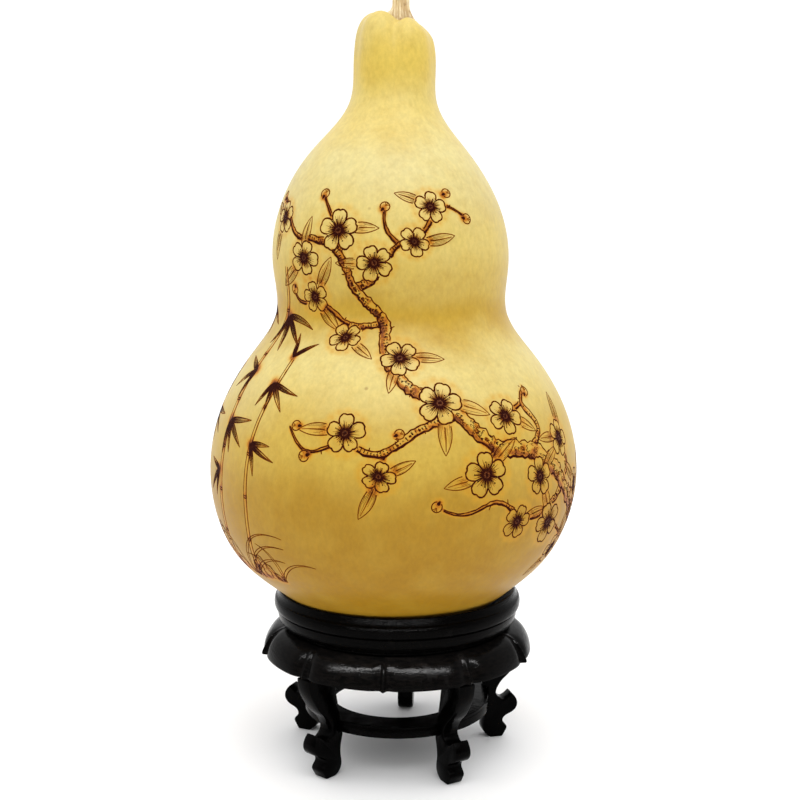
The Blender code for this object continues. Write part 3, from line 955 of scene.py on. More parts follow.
SPRAYS = (
    # azimuth, height, heading, leaves, length in mm
    (-57, 214, -60, 4, 21), (-60, 190, 200, 3, 20), (-62, 168, -50, 4, 20), (-84, 218, -95, 5, 20),
    (-83, 190, 215, 4, 22), (-82, 170, -40, 3, 19), (-45, 186, -70, 4, 18), (-47, 160, -30, 3, 17),
    (-64, 146, 215, 3, 18), (-94, 204, 250, 4, 20), (-81, 142, 220, 4, 21), (-42, 197, 70, 2, 15),
)
ROCKS = ((-70, 104, 15), (-47, 101, 9), (-93, 103, 10))
BLADES = (
    # azimuth, height, length in mm, heading, droop in radians
    (-56, 98, 44, 78, -0.75), (-55, 98, 38, 62, -0.55), (-57, 98, 34, 100, 0.7), (-54, 98, 30, 48, -0.45),
    (-84, 98, 40, 95, 0.7), (-85, 98, 34, 118, 0.6), (-82, 98, 32, 70, -0.6), (-40, 98, 26, 60, -0.6),
    (-39, 98, 24, 84, 0.6), (-41, 98, 22, 110, 0.6),
)


def drawn(skin, seed):
    """The whole drawing: a blossoming branch from the right, with canes and rocks at the left."""
    drawing = Drawing(skin, seed)
    for azimuth, height, radius, turn, facing in BLOSSOMS:
        draw_blossom(drawing, azimuth, height * MM, radius * MM, turn, facing)
    for number, (azimuth, height, radius, turn, _) in enumerate(BLOSSOMS):
        for leaf in range(1 + number % 2):
            heading = turn + 37 * number + leaf * 115 + drawing.dice.uniform(-20, 20)
            length = radius + drawing.dice.uniform(9, 14)
            bow = drawing.dice.uniform(-0.2, 0.2)
            sizes = length * MM, length * 0.13 * MM
            draw_leaf(drawing, azimuth, height * MM, *sizes, heading, bow, belly=1.25)
    for azimuth, height, radius, turn in BUDS:
        draw_bud(drawing, azimuth, height * MM, radius * MM, turn)
    for stations in BRANCHES:
        draw_branch(drawing, stations)
    for azimuth, height, size in ROCKS:
        draw_rock(drawing, azimuth, height * MM, size * MM)
    for azimuth, height, length, heading, droop in BLADES:
        draw_blade(drawing, azimuth, height * MM, length * MM, heading, droop)
    for azimuth, height, heading, leaves, length in SPRAYS:
        draw_spray(drawing, azimuth, height * MM, heading, leaves, length * MM)
    for foot, top, half_width, joints in CANES:
        draw_cane(drawing, foot, top, half_width, joints)
    return drawing


def ribbon_tree():
    """Paths laid on the skin and swept into thin ribbons that follow it; the singed ones each over a wider,
    paler one.
    """
    numbers = dict.fromkeys(("raised", "sunk", "singe"), "Float")
    tree, given = new_tree("burnt_ribbons", skin="Object", **numbers, finish="Material")

    def made(kind, inputs=None, **settings):
        """The first output of a new node."""
        return node(tree, kind, inputs, **settings).outputs[0]

    def stored(name, kind="FLOAT"):
        return made("GeometryNodeInputNamedAttribute", {"Name": name}, data_type=kind)

    def with_stored(geometry, name, value, kind="FLOAT"):
        inputs = {"Geometry": geometry, "Name": name, "Value": value}
        return made("GeometryNodeStoreNamedAttribute", inputs, data_type=kind)

    def sampled(value, kind="FLOAT"):
        """The skin's value at the place on it that is nearest to each point."""
        found = node(tree, "GeometryNodeSampleNearestSurface", {"Mesh": skin}, data_type=kind)
        tree.links.new(value, found.inputs["Value"])
        return found.outputs["Value"]

    def ribbon(paths, width, raised, burn):
        """The paths swept width to each side, their tops raised over the skin."""
        up, foot = stored("skin_normal", "FLOAT_VECTOR"), stored("skin_point", "FLOAT_VECTOR")
        curve = made("GeometryNodeMeshToCurve", {"Mesh": paths})
        facing = made("GeometryNodeSetCurveNormal", {"Curve": curve, "Normal": up}, mode="FREE")
        sweep = {"Curve": facing, "Profile Curve": profile, "Scale": width, "Fill Caps": True}
        swept = made("GeometryNodeCurveToMesh", sweep)
        away = made("ShaderNodeVectorMath", {0: position, 1: foot}, operation="SUBTRACT")
        rise = node(tree, "ShaderNodeVectorMath", {0: away, 1: up}, operation="DOT_PRODUCT").outputs["Value"]
        share = maths(tree, "DIVIDE", rise, width)
        over = maths(tree, "MULTIPLY", maths(tree, "MAXIMUM", share, 0.0), raised)
        under = maths(tree, "MULTIPLY", maths(tree, "MINIMUM", share, 0.0), given["Sunk"])
        wanted = maths(tree, "SUBTRACT", maths(tree, "ADD", over, under), rise)
        shift = made("ShaderNodeVectorMath", {0: up, "Scale": wanted}, operation="SCALE")
        flat = made("GeometryNodeSetPosition", {"Geometry": swept, "Offset": shift})
        return with_stored(flat, "burn", burn)

    skin = node(tree, "GeometryNodeObjectInfo", {"Object": given["Skin"]}).outputs["Geometry"]
    nearest = made("GeometryNodeProximity", {"Target": skin}, target_element="FACES")
    normal = made("GeometryNodeInputNormal")
    position = made("GeometryNodeInputPosition")
    normals = sampled(normal, "FLOAT_VECTOR")
    paths = with_stored(given["Geometry"], "skin_normal", normals, "FLOAT_VECTOR")
    paths = with_stored(paths, "under", sampled(stored("scorch")))
    laid = made("GeometryNodeSetPosition", {"Geometry": paths, "Position": nearest})
    paths = with_stored(laid, "skin_point", position, "FLOAT_VECTOR")
    chosen = {"Geometry": paths, "Selection": stored("singed")}
    broad = made("GeometryNodeSeparateGeometry", chosen, domain="POINT")
    corners = {f"Point {number}": corner for number, corner in enumerate(RIBBON_CORNERS, 1)}
    profile = made("GeometryNodeCurvePrimitiveQuadrilateral", corners, mode="POINTS")
    width, burn = stored("half_width"), stored("burn")
    dark = ribbon(paths, width, given["Raised"], burn)
    pale = maths(tree, "MULTIPLY", burn, SINGE_BURN)
    edge = maths(tree, "MAXIMUM", pale, maths(tree, "MULTIPLY", stored("under"), SINGE_OVER_SCORCH))
    wide = maths(tree, "ADD", width, given["Singe"])
    singed = ribbon(broad, wide, maths(tree, "MULTIPLY", given["Raised"], SINGE_RAISED), edge)
    both = node(tree, "GeometryNodeJoinGeometry")
    for part in (dark, singed):
        tree.links.new(part, both.inputs[0])
    end_tree(tree, both.outputs[0], given["Finish"])
    return tree


# Finishes
#
# A noise has its scale per metre, its detail and its roughness. A range gives the ends of a value
# and the shares, roughnesses or heights that they are turned into.


def skin_finish(settings):
    """Dried gourd skin: straw to ochre, mottled and finely fibrous, browned where it was scorched; its height
    bands also paint shade low on the gourd and highlight on the shoulders and crown.
    """
    gloss = {"Specular_IOR_Level": 0.16, "Sheen_Weight": 0.02, "Sheen_Roughness": 0.45}
    material, tree, shader, where = new_finish("gourd_skin", **gloss, Coat_Weight=0.04, Coat_Roughness=0.35)
    height = node(tree, "ShaderNodeSeparateXYZ", {"Vector": where}).outputs["Z"]
    mottle = noise(tree, where, 22.0, 4.0, 0.55)
    cloud = noise(tree, where, 60.0, 3.0, 0.6)
    dapple = noise(tree, where, 190.0, 4.0, 0.7)
    fibre = noise(tree, stretched(tree, where, (1.0, 1.0, 0.55)), 520.0, 5.0, 0.65)
    grain = noise(tree, where, 1500.0, 3.0, 0.6)
    level = maths(tree, "ADD", height, ranged(tree, mottle, 0.3, 0.7, -0.007, 0.007))
    colours = settings.skin_colour, settings.ripe_colour, settings.pale_colour
    plain, ripe, pale = (Vector(colour) for colour in colours)
    # Height bands: partly the skin's own colour, partly painted shade low on the gourd and painted highlight
    # on the shoulders and crown.
    bands = [
        (band / TOP_BAND, plain.lerp(ripe, ripeness_and_shade).lerp(pale, paleness_and_highlight))
        for band, ripeness_and_shade, paleness_and_highlight in RIPENESS_AND_PAINTED_LIGHT
    ]
    skin = ramped(tree, ranged(tree, level, 0.0, TOP_BAND), bands, "EASE")
    skin = blended(tree, ranged(tree, cloud, 0.42, 0.70, 0.0, 0.16), skin, solid(settings.skin_colour))
    ruddy = ranged(tree, mottle, 0.48, 0.72, 0.0, 0.16)
    ruddy = maths(tree, "ADD", ruddy, ranged(tree, dapple, 0.46, 0.68, 0.0, 0.15))
    skin = blended(tree, ruddy, skin, solid(settings.ripe_colour))
    threads = ranged(tree, fibre, 0.36, 0.66, 0.93, 1.06)
    threads = node(tree, "ShaderNodeCombineXYZ", {0: threads, 1: threads, 2: threads}).outputs[0]
    skin = blended(tree, 1.0, skin, threads, "MULTIPLY")
    cells = node(tree, "ShaderNodeTexVoronoi", {"Vector": where, "Scale": 85.0})
    near = ranged(tree, cells.outputs["Distance"], 0.045, 0.10, 1.0, 0.0)
    picked = node(tree, "ShaderNodeSeparateColor", {"Color": cells.outputs["Color"]}).outputs[0]
    few = maths(tree, "GREATER_THAN", picked, 0.86)
    specks = maths(tree, "MULTIPLY", maths(tree, "MULTIPLY", near, few), 0.55)
    skin = blended(tree, specks, skin, solid(SPECK_COLOUR))
    uneven = ranged(tree, grain, 0.3, 0.7, 0.78, 1.22)
    uneven = maths(tree, "MULTIPLY", tagged(tree, "scorch"), uneven, clamp=True)
    toast = ramped(tree, uneven, TOAST)
    skin = blended(tree, ranged(tree, uneven, 0.02, 0.42), skin, toast)
    tree.links.new(skin, shader.inputs["Base Color"])
    rough = maths(tree, "ADD", ranged(tree, fibre, 0.3, 0.7, -0.05, 0.06), settings.skin_roughness)
    rough = maths(tree, "ADD", rough, maths(tree, "MULTIPLY", uneven, 0.18), clamp=True)
    tree.links.new(rough, shader.inputs["Roughness"])
    relief(tree, shader, maths(tree, "ADD", fibre, maths(tree, "MULTIPLY", cloud, 0.8)), 0.0002, 0.14)
    return material


def line_finish(settings):
    """Charred lines, from amber where the point was light to brown-black."""
    material, tree, shader, where = new_finish("burnt_line", Specular_IOR_Level=0.02)
    char = noise(tree, where, 700.0, 2.0, 0.5)
    uneven = ranged(tree, char, 0.3, 0.7, 0.80, 1.1)
    shade = maths(tree, "MULTIPLY", tagged(tree, "burn"), uneven, clamp=True)
    colours = ramped(tree, shade, (*SINGED, (0.82, settings.line_colour)))
    tree.links.new(colours, shader.inputs["Base Color"])
    tree.links.new(ranged(tree, char, 0.3, 0.7, 0.50, 0.68), shader.inputs["Roughness"])
    return material


def stem_finish(settings):
    """Dry fibrous stem: pale straw ridges with brown furrows and flecks."""
    material, tree, shader, where = new_finish("gourd_stem")
    strands = noise(tree, stretched(tree, where, (1.0, 1.0, 0.07)), 1300.0, 4.0, 0.6)
    broad = noise(tree, stretched(tree, where, (1.0, 1.0, 0.16)), 420.0, 3.0, 0.5, 0.4)
    flecks = noise(tree, stretched(tree, where, (1.0, 1.0, 0.4)), 700.0, 2.0, 0.6)
    light = ranged(tree, strands, 0.36, 0.64)
    base = blended(tree, light, solid(settings.stem_colour), solid(STEM_RIDGE_COLOUR))
    brown = maths(tree, "MULTIPLY", ranged(tree, broad, 0.50, 0.62), 0.65)
    furrow = maths(tree, "MULTIPLY", tagged(tree, "furrow"), 0.8)
    base = blended(tree, maths(tree, "MAXIMUM", brown, furrow, clamp=True), base, solid(STEM_FURROW_COLOUR))
    height = node(tree, "ShaderNodeSeparateXYZ", {"Vector": where}).outputs["Z"]
    foot = ranged(tree, height, CROWN_HEIGHT + 0.0030, CROWN_HEIGHT - 0.0010, 0.0, 0.55)
    foot = maths(tree, "MULTIPLY", foot, broad)
    dark = maths(tree, "ADD", ranged(tree, flecks, 0.60, 0.72, 0.0, 0.8), foot, clamp=True)
    base = blended(tree, dark, base, solid(STEM_FLECK_COLOUR))
    tree.links.new(base, shader.inputs["Base Color"])
    tree.links.new(ranged(tree, strands, 0.3, 0.7, 0.68, 0.88), shader.inputs["Roughness"])
    relief(tree, shader, maths(tree, "ADD", strands, broad), 0.0004, 0.6)
    return material


def wood_finish(name, settings, stretch):
    """Black lacquered wood: a grain stretched by stretch, under a satin gloss with faint wear and dust."""
    material, tree, shader, where = new_finish("black_wood_" + name, Specular_IOR_Level=0.022)
    grain = noise(tree, stretched(tree, where, (1.0, 1.0, stretch)), 260.0, 5.0, 0.6, 0.3)
    wear = noise(tree, where, 120.0, 4.0, 0.6)
    fine = noise(tree, where, 900.0, 3.0, 0.6)
    light = ranged(tree, grain, 0.35, 0.7)
    black = blended(tree, light, solid(settings.wood_colour), solid(GRAIN_COLOUR))
    black = blended(tree, ranged(tree, wear, 0.60, 0.78, 0.0, 0.22), black, solid(DUST_COLOUR))
    tree.links.new(black, shader.inputs["Base Color"])
    rough = maths(tree, "ADD", ranged(tree, wear, 0.35, 0.70, -0.05, 0.10), settings.wood_roughness)
    rough = maths(tree, "ADD", rough, ranged(tree, fine, 0.3, 0.7, -0.03, 0.04))
    tree.links.new(rough, shader.inputs["Roughness"])
    relief(tree, shader, maths(tree, "ADD", grain, maths(tree, "MULTIPLY", fine, 0.4)), 0.00028, 0.45)
    return material


# Settings


def colour_setting(name, description, default):
    return FloatVectorProperty(
        name=name, description=description, subtype="COLOR", default=default, min=0, max=1
    )


def share_setting(name, description, default):
    return FloatProperty(name=name, description=description, default=default, min=0, max=1)


def length_setting(name, description, default):
    return FloatProperty(name=name, description=description, default=default, unit="LENGTH", min=0)


def strength_setting(name, description, default):
    return FloatProperty(name=name, description=description, default=default, min=0)


class GourdSettings(PropertyGroup):
    """Colours and gloss of the gourd and its stem."""

    skin_colour: colour_setting("Skin", "Main colour of the dried skin", (0.638, 0.456, 0.071))
    # Ripe skin is also painted shade low on the gourd; pale skin is also painted highlight on the shoulders
    # and crown.
    ripe_colour: colour_setting("Ripe skin", "Deeper ochre low on the gourd", (0.322, 0.154, 0.001))
    pale_colour: colour_setting("Pale skin", "Pale straw patches", (0.615, 0.525, 0.225))
    skin_roughness: share_setting("Skin roughness", "How dull the skin is", 0.42)
    stem_colour: colour_setting("Stem", "Straw colour of the stem", (0.72, 0.56, 0.28))


class BurningSettings(PropertyGroup):
    """The burnt drawing."""

    seed: IntProperty(name="Seed", description="Draws the small strokes another way", default=7, min=0)
    raised: length_setting("Raised", "How far the charred lines stand over the skin", 0.00005)
    sunk: length_setting("Sunk", "How deep the lines reach into the skin", 0.00024)
    singe: length_setting("Singe", "Width of the amber edge of each line", 0.00022)
    line_colour: colour_setting("Lines", "Colour of the darkest lines", (0.026, 0.004, 0.002))


class StandSettings(PropertyGroup):
    """The black wooden stand."""

    wood_colour: colour_setting("Wood", "Colour of the lacquered wood", (0.0003, 0.0003, 0.0003))
    wood_roughness: share_setting("Wood roughness", "How dull the lacquer is", 0.12)
    edge: length_setting("Edge rounding", "Rounding of the sawn edges", 0.0006)


class StageSettings(PropertyGroup):
    """Floor, light and camera."""

    floor_colour: colour_setting("Floor", "Colour of the floor", (0.96, 0.96, 0.96))
    surround: strength_setting("Surround", "Strength of the white surround", 1.15)
    front: share_setting("Front", "Share of the surround left in front", 0.12)
    sky: strength_setting("Sky", "Strength of the wide light from above", 2.0)
    strip_power: strength_setting("Strip Power", "Power of the strip light that glints on the lacquer", 80.0)
    box_power: FloatProperty(
        name="Soft box", description="Power of the soft box", default=2.5, unit="POWER", min=0
    )


# Operators


class GOURD_OT_gourd(Operator):
    """Builds the gourd's skin, with the scorch marks of the drawing in it, and the burnt lines on it"""

    bl_idname = "gourd.gourd"
    bl_label = "Gourd and Drawing"

    def execute(self, context):
        burning = context.scene.burning_settings
        skin = Skin()
        turn = np.radians(np.concatenate([np.arange(*FRONT_COLUMNS), np.arange(*BACK_COLUMNS)]))
        mesh = turned("gourd_body", skin.spaced_outline(), turn)
        normals = np.array([vertex.normal for vertex in mesh.vertices])
        points = grown(coordinates(mesh), normals, skin)
        move_to(mesh, points)
        mesh.shade_smooth()
        drawing = drawn(skin, burning.seed)
        tag(mesh, "scorch", drawing.scorch_of(points))
        body = piece("gourd_body", mesh, skin_finish(context.scene.gourd_settings), "gourd_skin", "gourd")
        paths = placed("burnt_paths", drawing.mesh())
        ribbons = paths.modifiers.new("Ribbons", "NODES")
        ribbons.node_group = ribbon_tree()
        finish = line_finish(burning)
        sizes = {"raised": burning.raised, "sunk": burning.sunk, "singe": burning.singe}
        with_inputs(ribbons, skin=body, finish=finish, **sizes)
        lines = plain_mesh(paths)
        for name in ("skin_point", "skin_normal", "half_width", "under", "singed"):
            lines.attributes.remove(lines.attributes[name])
        piece("burnt_drawing", lines, finish, "gourd_skin")
        return {"FINISHED"}


class GOURD_OT_stem(Operator):
    """Builds the dry ribbed stem on its scar"""

    bl_idname = "gourd.stem"
    bl_label = "Stem"

    def execute(self, context):
        outline = [*STEM_END, *smooth_run(STEM_OUTLINE, STEM_STEP), (0.0, 0.0)]
        mesh = turned("gourd_stem_fibres", outline, even_turn(STEM_COLUMNS))
        points = coordinates(mesh)
        radius, azimuth = polar(points)
        share = points[:, 2] / STEM_TOP
        twist = azimuth + STRAND_TWIST * share
        rib = STEM_RIB_HEIGHT * np.cos(STEM_RIBS * azimuth)
        strand = STRAND_HEIGHT * np.cos(STRANDS * twist + STRAND_WANDER * np.sin(STRAND_WAVES * share))
        strand += FINE_STRAND_HEIGHT * np.cos(FINE_STRANDS * twist + FINE_TWIST * share)
        low = np.clip(1 - points[:, 2] / ROOT_HEIGHT, 0.0, 1.0)
        root = ROOT_REACH * low**2 * np.maximum(np.cos(STEM_RIBS * azimuth), 0.0) ** 2
        outer = smoothstep(radius, 0.0, STEM_OUTLINE[-1][0])
        points[:, :2] *= (1 + outer * (rib + strand + root) / np.maximum(radius, POLE))[:, None]
        points[:, 0] += STEM_LEAN[0] * points[:, 2] * share + GOURD_OUTLINE[0][2] + STEM_SHIFT
        points[:, 1] += STEM_LEAN[1] * points[:, 2] * share
        points[:, 2] += self.seated(context, points, share, low) - STEM_SUNK * low
        move_to(mesh, points)
        smooth_shaded(mesh)
        tag(mesh, "furrow", np.clip(-strand / STRAND_FURROW, 0.0, 1.0))
        piece("gourd_stem", mesh, stem_finish(context.scene.gourd_settings), "gourd_stem", "stem")
        return {"FINISHED"}

    @staticmethod
    def seated(context, points, share, low):
        """How far up each point goes, so that the foot follows the crown and the top keeps its height."""
        tree = BVHTree.FromObject(bpy.data.objects["gourd_body"], context.evaluated_depsgraph_get())

        def crown(x, y):
            return tree.ray_cast((x, y, 2 * CROWN_HEIGHT), (0.0, 0.0, -1.0))[0].z

        middle = crown(GOURD_OUTLINE[0][2] + STEM_SHIFT, 0.0)
        under = np.array([crown(x, y) for x, y, _ in points])
        return middle + (CROWN_HEIGHT + GAP - middle) * share + (under - middle) * low


class GOURD_OT_seat(Operator):
    """Builds the turned seat with its bowl, rim and mouldings"""

    bl_idname = "gourd.seat"
    bl_label = "Turned Seat"

    def execute(self, context):
        waist = [(WAIST_RADIUS, WAIST_TOP), (WAIST_RADIUS, SEAT_BASE), (0.0, SEAT_BASE)]
        outline = [*smooth_run(BOWL, BOWL_STEP), *arc(*LIP), *COVE, *arc(*RIM), GROOVE, *arc(*OVOLO), *waist]
        mesh = smooth_shaded(turned("turned_seat", outline, even_turn(SEAT_COLUMNS)))
        finish = wood_finish("turned", context.scene.stand_settings, 7.0)
        piece("turned_seat", mesh, finish, "black_wood", "stand_seat")
        return {"FINISHED"}


class GOURD_OT_apron(Operator):
    """Builds the carved apron with its lobes and ribs"""

    bl_idname = "gourd.apron"
    bl_label = "Carved Apron"

    def execute(self, context):
        section = smooth_run(APRON_SECTION[:-1], APRON_STEP)
        outline = [(APRON_BORE, APRON_TOP), *section, APRON_SECTION[-1], (APRON_BORE, SEAT_BASE)]
        mesh = turned("carved_apron", outline, even_turn(APRON_COLUMNS), closed=True)
        points = coordinates(mesh)
        radius, azimuth = polar(points)
        azimuth = self.gathered(azimuth)
        share = (self.reach(azimuth, points[:, 2]) - APRON_BORE) / (APRON_REACH - APRON_BORE)
        radius = APRON_BORE + (radius - APRON_BORE) * share
        points[:, 0] = radius * np.sin(azimuth)
        points[:, 1] = -radius * np.cos(azimuth)
        move_to(mesh, points)
        smooth_shaded(mesh, APRON_SHARP)
        finish = wood_finish("carved", context.scene.stand_settings, 4.0)
        piece("carved_apron", mesh, finish, "black_wood", "stand_apron")
        return {"FINISHED"}

    @staticmethod
    def gathered(turn):
        """Even steps round the ring, drawn together towards the ribs."""
        lobe = 360 / LOBES
        step = np.degrees(turn) / lobe
        off_rib = step - np.round(step)
        drawn_in = np.copysign((np.abs(off_rib) * 2) ** LOBE_CLUSTER / 2, off_rib)
        return np.radians((np.round(step) + drawn_in) * lobe + FIRST_NOTCH)

    @staticmethod
    def reach(azimuth, height):
        """The apron's outer radius: a notch with a rib in it over each leg and in the middle of each bay."""
        bay = 2 * 360 / LOBES
        from_leg = np.abs((np.degrees(azimuth) - FIRST_NOTCH + bay / 2) % bay - bay / 2)
        from_middle = bay / 2 - from_leg
        depth = NOTCH_AT_EDGE + (1 - NOTCH_AT_EDGE) * smoothstep(height, SEAT_BASE, NOTCH_FULL)
        reach = APRON_REACH - depth * LEG_NOTCH * np.exp(-((from_leg / LEG_NOTCH_WIDTH) ** 2))
        reach += LEG_RIB * np.exp(-((from_leg / RIB_WIDTH) ** 2))
        reach -= depth * BAY_NOTCH * np.exp(-((from_middle / BAY_NOTCH_WIDTH) ** 2))
        return reach + BAY_RIB * np.exp(-((from_middle / RIB_WIDTH) ** 2))


class GOURD_OT_legs(Operator):
    """Builds the five scrolled legs round the seat"""

    bl_idname = "gourd.legs"
    bl_label = "Scrolled Legs"

    def execute(self, context):
        settings = context.scene.stand_settings
        board = placed("leg_board", self.board())
        rounding = board.modifiers.new("Rounding", "BEVEL")
        rounding.width = settings.edge
        rounding.segments = 2
        rounding.limit_method = "ANGLE"
        rounding.angle_limit = math.radians(SAWN_EDGE)
        places = bpy.data.meshes.new("leg_places")
        places.from_pydata([(0.0, 0.0, 0.0)] * len(LEG_AZIMUTHS), [], [])
        tag(places, "azimuth", np.radians(LEG_AZIMUTHS))
        carrier = placed("leg_places", places)
        ring = carrier.modifiers.new("Ring", "NODES")
        ring.node_group = self.ring_tree()
        finish = wood_finish("sawn", settings, 0.4)
        with_inputs(ring, board=board, finish=finish)
        mesh = plain_mesh(carrier)
        bpy.data.objects.remove(board)
        smooth_shaded(mesh, LEG_SHARP)
        nodes = [f"stand_leg_{number}" for number in range(1, len(LEG_AZIMUTHS) + 1)]
        piece("scrolled_legs", mesh, finish, "black_wood", *nodes)
        return {"FINISHED"}

    @staticmethod
    def board():
        """One leg, sawn from board, in the plane of the front."""
        back, low, high = STRETCHER_OUTER + GAP, STRETCHER_BASE - GAP, STRETCHER_TOP + GAP
        housing = [(HEEL[-1][0], low), (back, low), (back, high)]
        outline = smooth_run(KNEE, LEG_STEP)[:-1] + smooth_run(HOOK, LEG_STEP)
        outline += smooth_run(HEEL, LEG_STEP) + housing + smooth_run(SHIN, LEG_STEP)
        shape = bmesh.new()
        corners = [shape.verts.new((LEG_THICKNESS / 2, -radius, height)) for radius, height in outline]
        made = bmesh.ops.extrude_face_region(shape, geom=[shape.faces.new(corners)])["geom"]
        far = [item for item in made if isinstance(item, bmesh.types.BMVert)]
        bmesh.ops.translate(shape, verts=far, vec=(-LEG_THICKNESS, 0.0, 0.0))
        bmesh.ops.recalc_face_normals(shape, faces=shape.faces)
        mesh = bpy.data.meshes.new("leg_board")
        shape.to_mesh(mesh)
        shape.free()
        return mesh

    @staticmethod
    def ring_tree():
        """The board set at each point, turned by the point's azimuth."""
        tree, given = new_tree("leg_ring", board="Object", finish="Material")
        board = node(tree, "GeometryNodeObjectInfo", {"Object": given["Board"]}).outputs["Geometry"]
        stored = node(tree, "GeometryNodeInputNamedAttribute", {"Name": "azimuth"}, data_type="FLOAT")
        euler = node(tree, "ShaderNodeCombineXYZ", {"Z": stored.outputs["Attribute"]}).outputs[0]
        rotation = node(tree, "FunctionNodeEulerToRotation", {"Euler": euler}).outputs[0]
        inputs = {"Points": given["Geometry"], "Instance": board, "Rotation": rotation}
        end_tree(tree, node(tree, "GeometryNodeInstanceOnPoints", inputs).outputs[0], given["Finish"])
        return tree


class GOURD_OT_stretcher(Operator):
    """Builds the stretcher ring between the legs"""

    bl_idname = "gourd.stretcher"
    bl_label = "Stretcher Ring"

    def execute(self, context):
        step = STRETCHER_GROOVE / 4
        groove_top = STRETCHER_TOP - STRETCHER_GROOVE
        groove_base = groove_top - STRETCHER_GROOVE
        inner = STRETCHER_OUTER - STRETCHER_GROOVE / 2
        outline = [
            (STRETCHER_INNER, STRETCHER_TOP - step),
            (STRETCHER_INNER + step, STRETCHER_TOP),
            (inner - step, STRETCHER_TOP),
            (inner, STRETCHER_TOP - step),
            (inner, groove_top),
            (STRETCHER_OUTER - step, groove_base + step),
            (STRETCHER_OUTER, groove_base - step),
            (STRETCHER_OUTER, STRETCHER_BASE + step),
            (STRETCHER_OUTER - step, STRETCHER_BASE),
            (STRETCHER_INNER + step, STRETCHER_BASE),
            (STRETCHER_INNER, STRETCHER_BASE + step),
        ]
        mesh = turned("stretcher_ring", outline, even_turn(STRETCHER_COLUMNS), closed=True)
        finish = wood_finish("ring", context.scene.stand_settings, 3.0)
        piece("stretcher_ring", smooth_shaded(mesh, RING_SHARP), finish, "black_wood", "stand_stretcher")
        return {"FINISHED"}


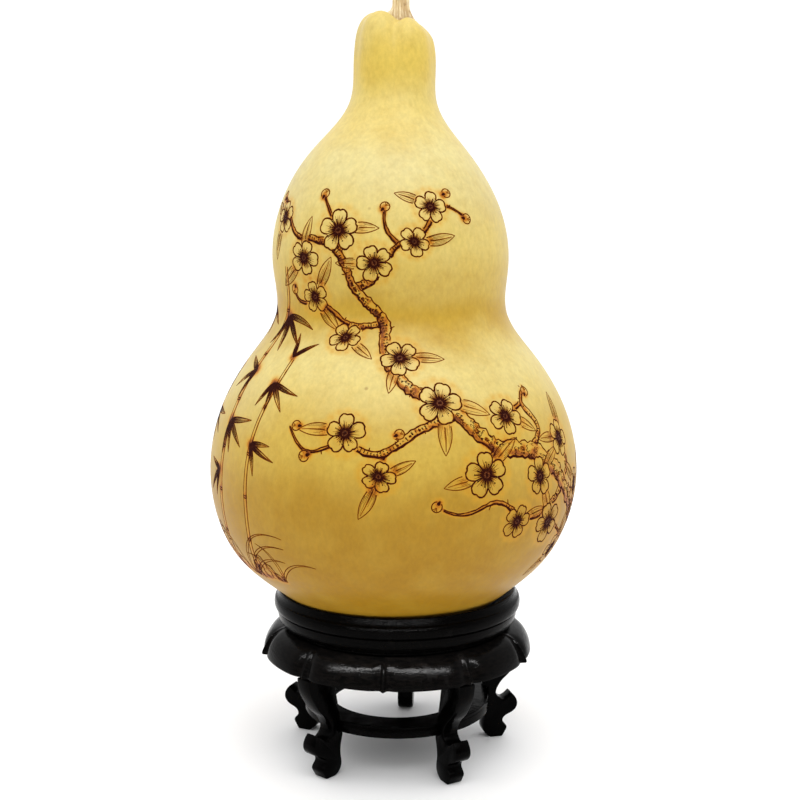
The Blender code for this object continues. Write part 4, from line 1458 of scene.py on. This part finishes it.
class GOURD_OT_stage(Operator):
    """Sets the floor, the soft lights, the surround and the camera"""

    bl_idname = "gourd.stage"
    bl_label = "Stage"

    def execute(self, context):
        scene = context.scene
        settings = scene.stage_settings
        self.floor(settings)
        self.surround(scene, settings)
        self.sky(settings)
        powers = {"box": settings.box_power, "strip": settings.strip_power}
        for name, kind, share_of, place, aim, size, lit in LAMPS:
            self.lamp(name, powers[kind] * share_of, place, aim, size, lit)
        camera = bpy.data.cameras.new("Camera")
        camera.sensor_width = 36.0
        camera.lens = CAMERA_LENS
        camera.shift_x = CAMERA_SHIFT
        camera.clip_start, camera.clip_end = 0.01, 20.0
        viewer = placed("Camera", camera)
        viewer.location = CAMERA_PLACE
        viewer.rotation_euler = (math.radians(90 - CAMERA_PITCH), 0.0, 0.0)
        scene.camera = viewer
        scene.view_settings.view_transform = "Standard"
        return {"FINISHED"}

    @staticmethod
    def floor(settings):
        mesh = bpy.data.meshes.new("floor")
        corners = [(FLOOR_REACH * x, FLOOR_REACH * y, 0) for x, y in ((-1, -1), (1, -1), (1, 1), (-1, 1))]
        mesh.from_pydata(corners, [], [(0, 1, 2, 3)])
        material, tree, shader, where = new_finish("pale_floor", Roughness=0.6)
        cloud = ranged(tree, noise(tree, where, 3.0, 2.0), 0.3, 0.7, 0.0, 0.3)
        pale, dull = (solid([shade * c for c in settings.floor_colour]) for shade in (1.0, FLOOR_SHADE))
        tree.links.new(blended(tree, cloud, pale, dull), shader.inputs["Base Color"])
        mesh.materials.append(material)
        placed("floor", mesh)

    @staticmethod
    def surround(scene, settings):
        """A white world, dimmer in front of the object where the camera doesn't look."""
        world = bpy.data.worlds.new("white_surround")
        world.use_nodes = True
        tree = world.node_tree
        background = tree.nodes["Background"]
        way = node(tree, "ShaderNodeTexCoord").outputs["Generated"]
        axes = node(tree, "ShaderNodeSeparateXYZ", {"Vector": way}).outputs
        behind = ranged(tree, axes["Y"], *SURROUND_FADE, settings.front, 1.0)
        seen = node(tree, "ShaderNodeLightPath").outputs["Is Camera Ray"]
        bright = maths(tree, "MULTIPLY", maths(tree, "MAXIMUM", behind, seen), settings.surround)
        tree.links.new(bright, background.inputs["Strength"])
        background.inputs["Color"].default_value = (1.0, 1.0, 1.0, 1.0)
        scene.world = world

    @staticmethod
    def sky(settings):
        lamp = bpy.data.lights.new("Sky", "SUN")
        lamp.angle = math.radians(SKY_WIDTH)
        lamp.energy = settings.sky
        placed("Sky", lamp).rotation_euler = [math.radians(turn) for turn in SKY_TURN]

    @staticmethod
    def lamp(name, power, place, aim, size, lit):
        """An area light; where pieces are named, it shines on these alone."""
        lamp = bpy.data.lights.new(name, "AREA")
        lamp.shape = "RECTANGLE"
        lamp.size, lamp.size_y = size
        lamp.energy = power
        obj = placed(name, lamp)
        obj.location = place
        obj.rotation_euler = (Vector(aim) - Vector(place)).to_track_quat("-Z", "Y").to_euler()
        if lit:
            alone = bpy.data.collections.new("lit_by_" + name)
            for piece_name in lit:
                alone.objects.link(bpy.data.objects[piece_name])
            obj.light_linking.receiver_collection = alone


OPERATORS = (
    GOURD_OT_gourd,
    GOURD_OT_stem,
    GOURD_OT_seat,
    GOURD_OT_apron,
    GOURD_OT_legs,
    GOURD_OT_stretcher,
    GOURD_OT_stage,
)
SETTINGS = {
    "gourd_settings": GourdSettings,
    "burning_settings": BurningSettings,
    "stand_settings": StandSettings,
    "stage_settings": StageSettings,
}


class GOURD_PT_panel(Panel):
    """The sidebar panel with every piece's settings and its button"""

    bl_label = "Bottle Gourd"
    bl_idname = "GOURD_PT_panel"
    bl_space_type = "VIEW_3D"
    bl_region_type = "UI"
    bl_category = "Gourd"

    def draw(self, context):
        layout = self.layout
        for name, group in SETTINGS.items():
            box = layout.box()
            box.label(text=group.__doc__)
            for key in group.__annotations__:
                box.prop(getattr(context.scene, name), key)
        for operator in OPERATORS:
            layout.operator(operator.bl_idname)


def register():
    for cls in (*SETTINGS.values(), *OPERATORS, GOURD_PT_panel):
        bpy.utils.register_class(cls)
    for name, group in SETTINGS.items():
        setattr(bpy.types.Scene, name, PointerProperty(type=group))


def unregister():
    for name in SETTINGS:
        delattr(bpy.types.Scene, name)
    for cls in reversed((*SETTINGS.values(), *OPERATORS, GOURD_PT_panel)):
        bpy.utils.unregister_class(cls)


def main():
    register()
    for operator in OPERATORS:
        group, name = operator.bl_idname.split(".")
        getattr(getattr(bpy.ops, group), name)()


if __name__ == "__main__":
    main()
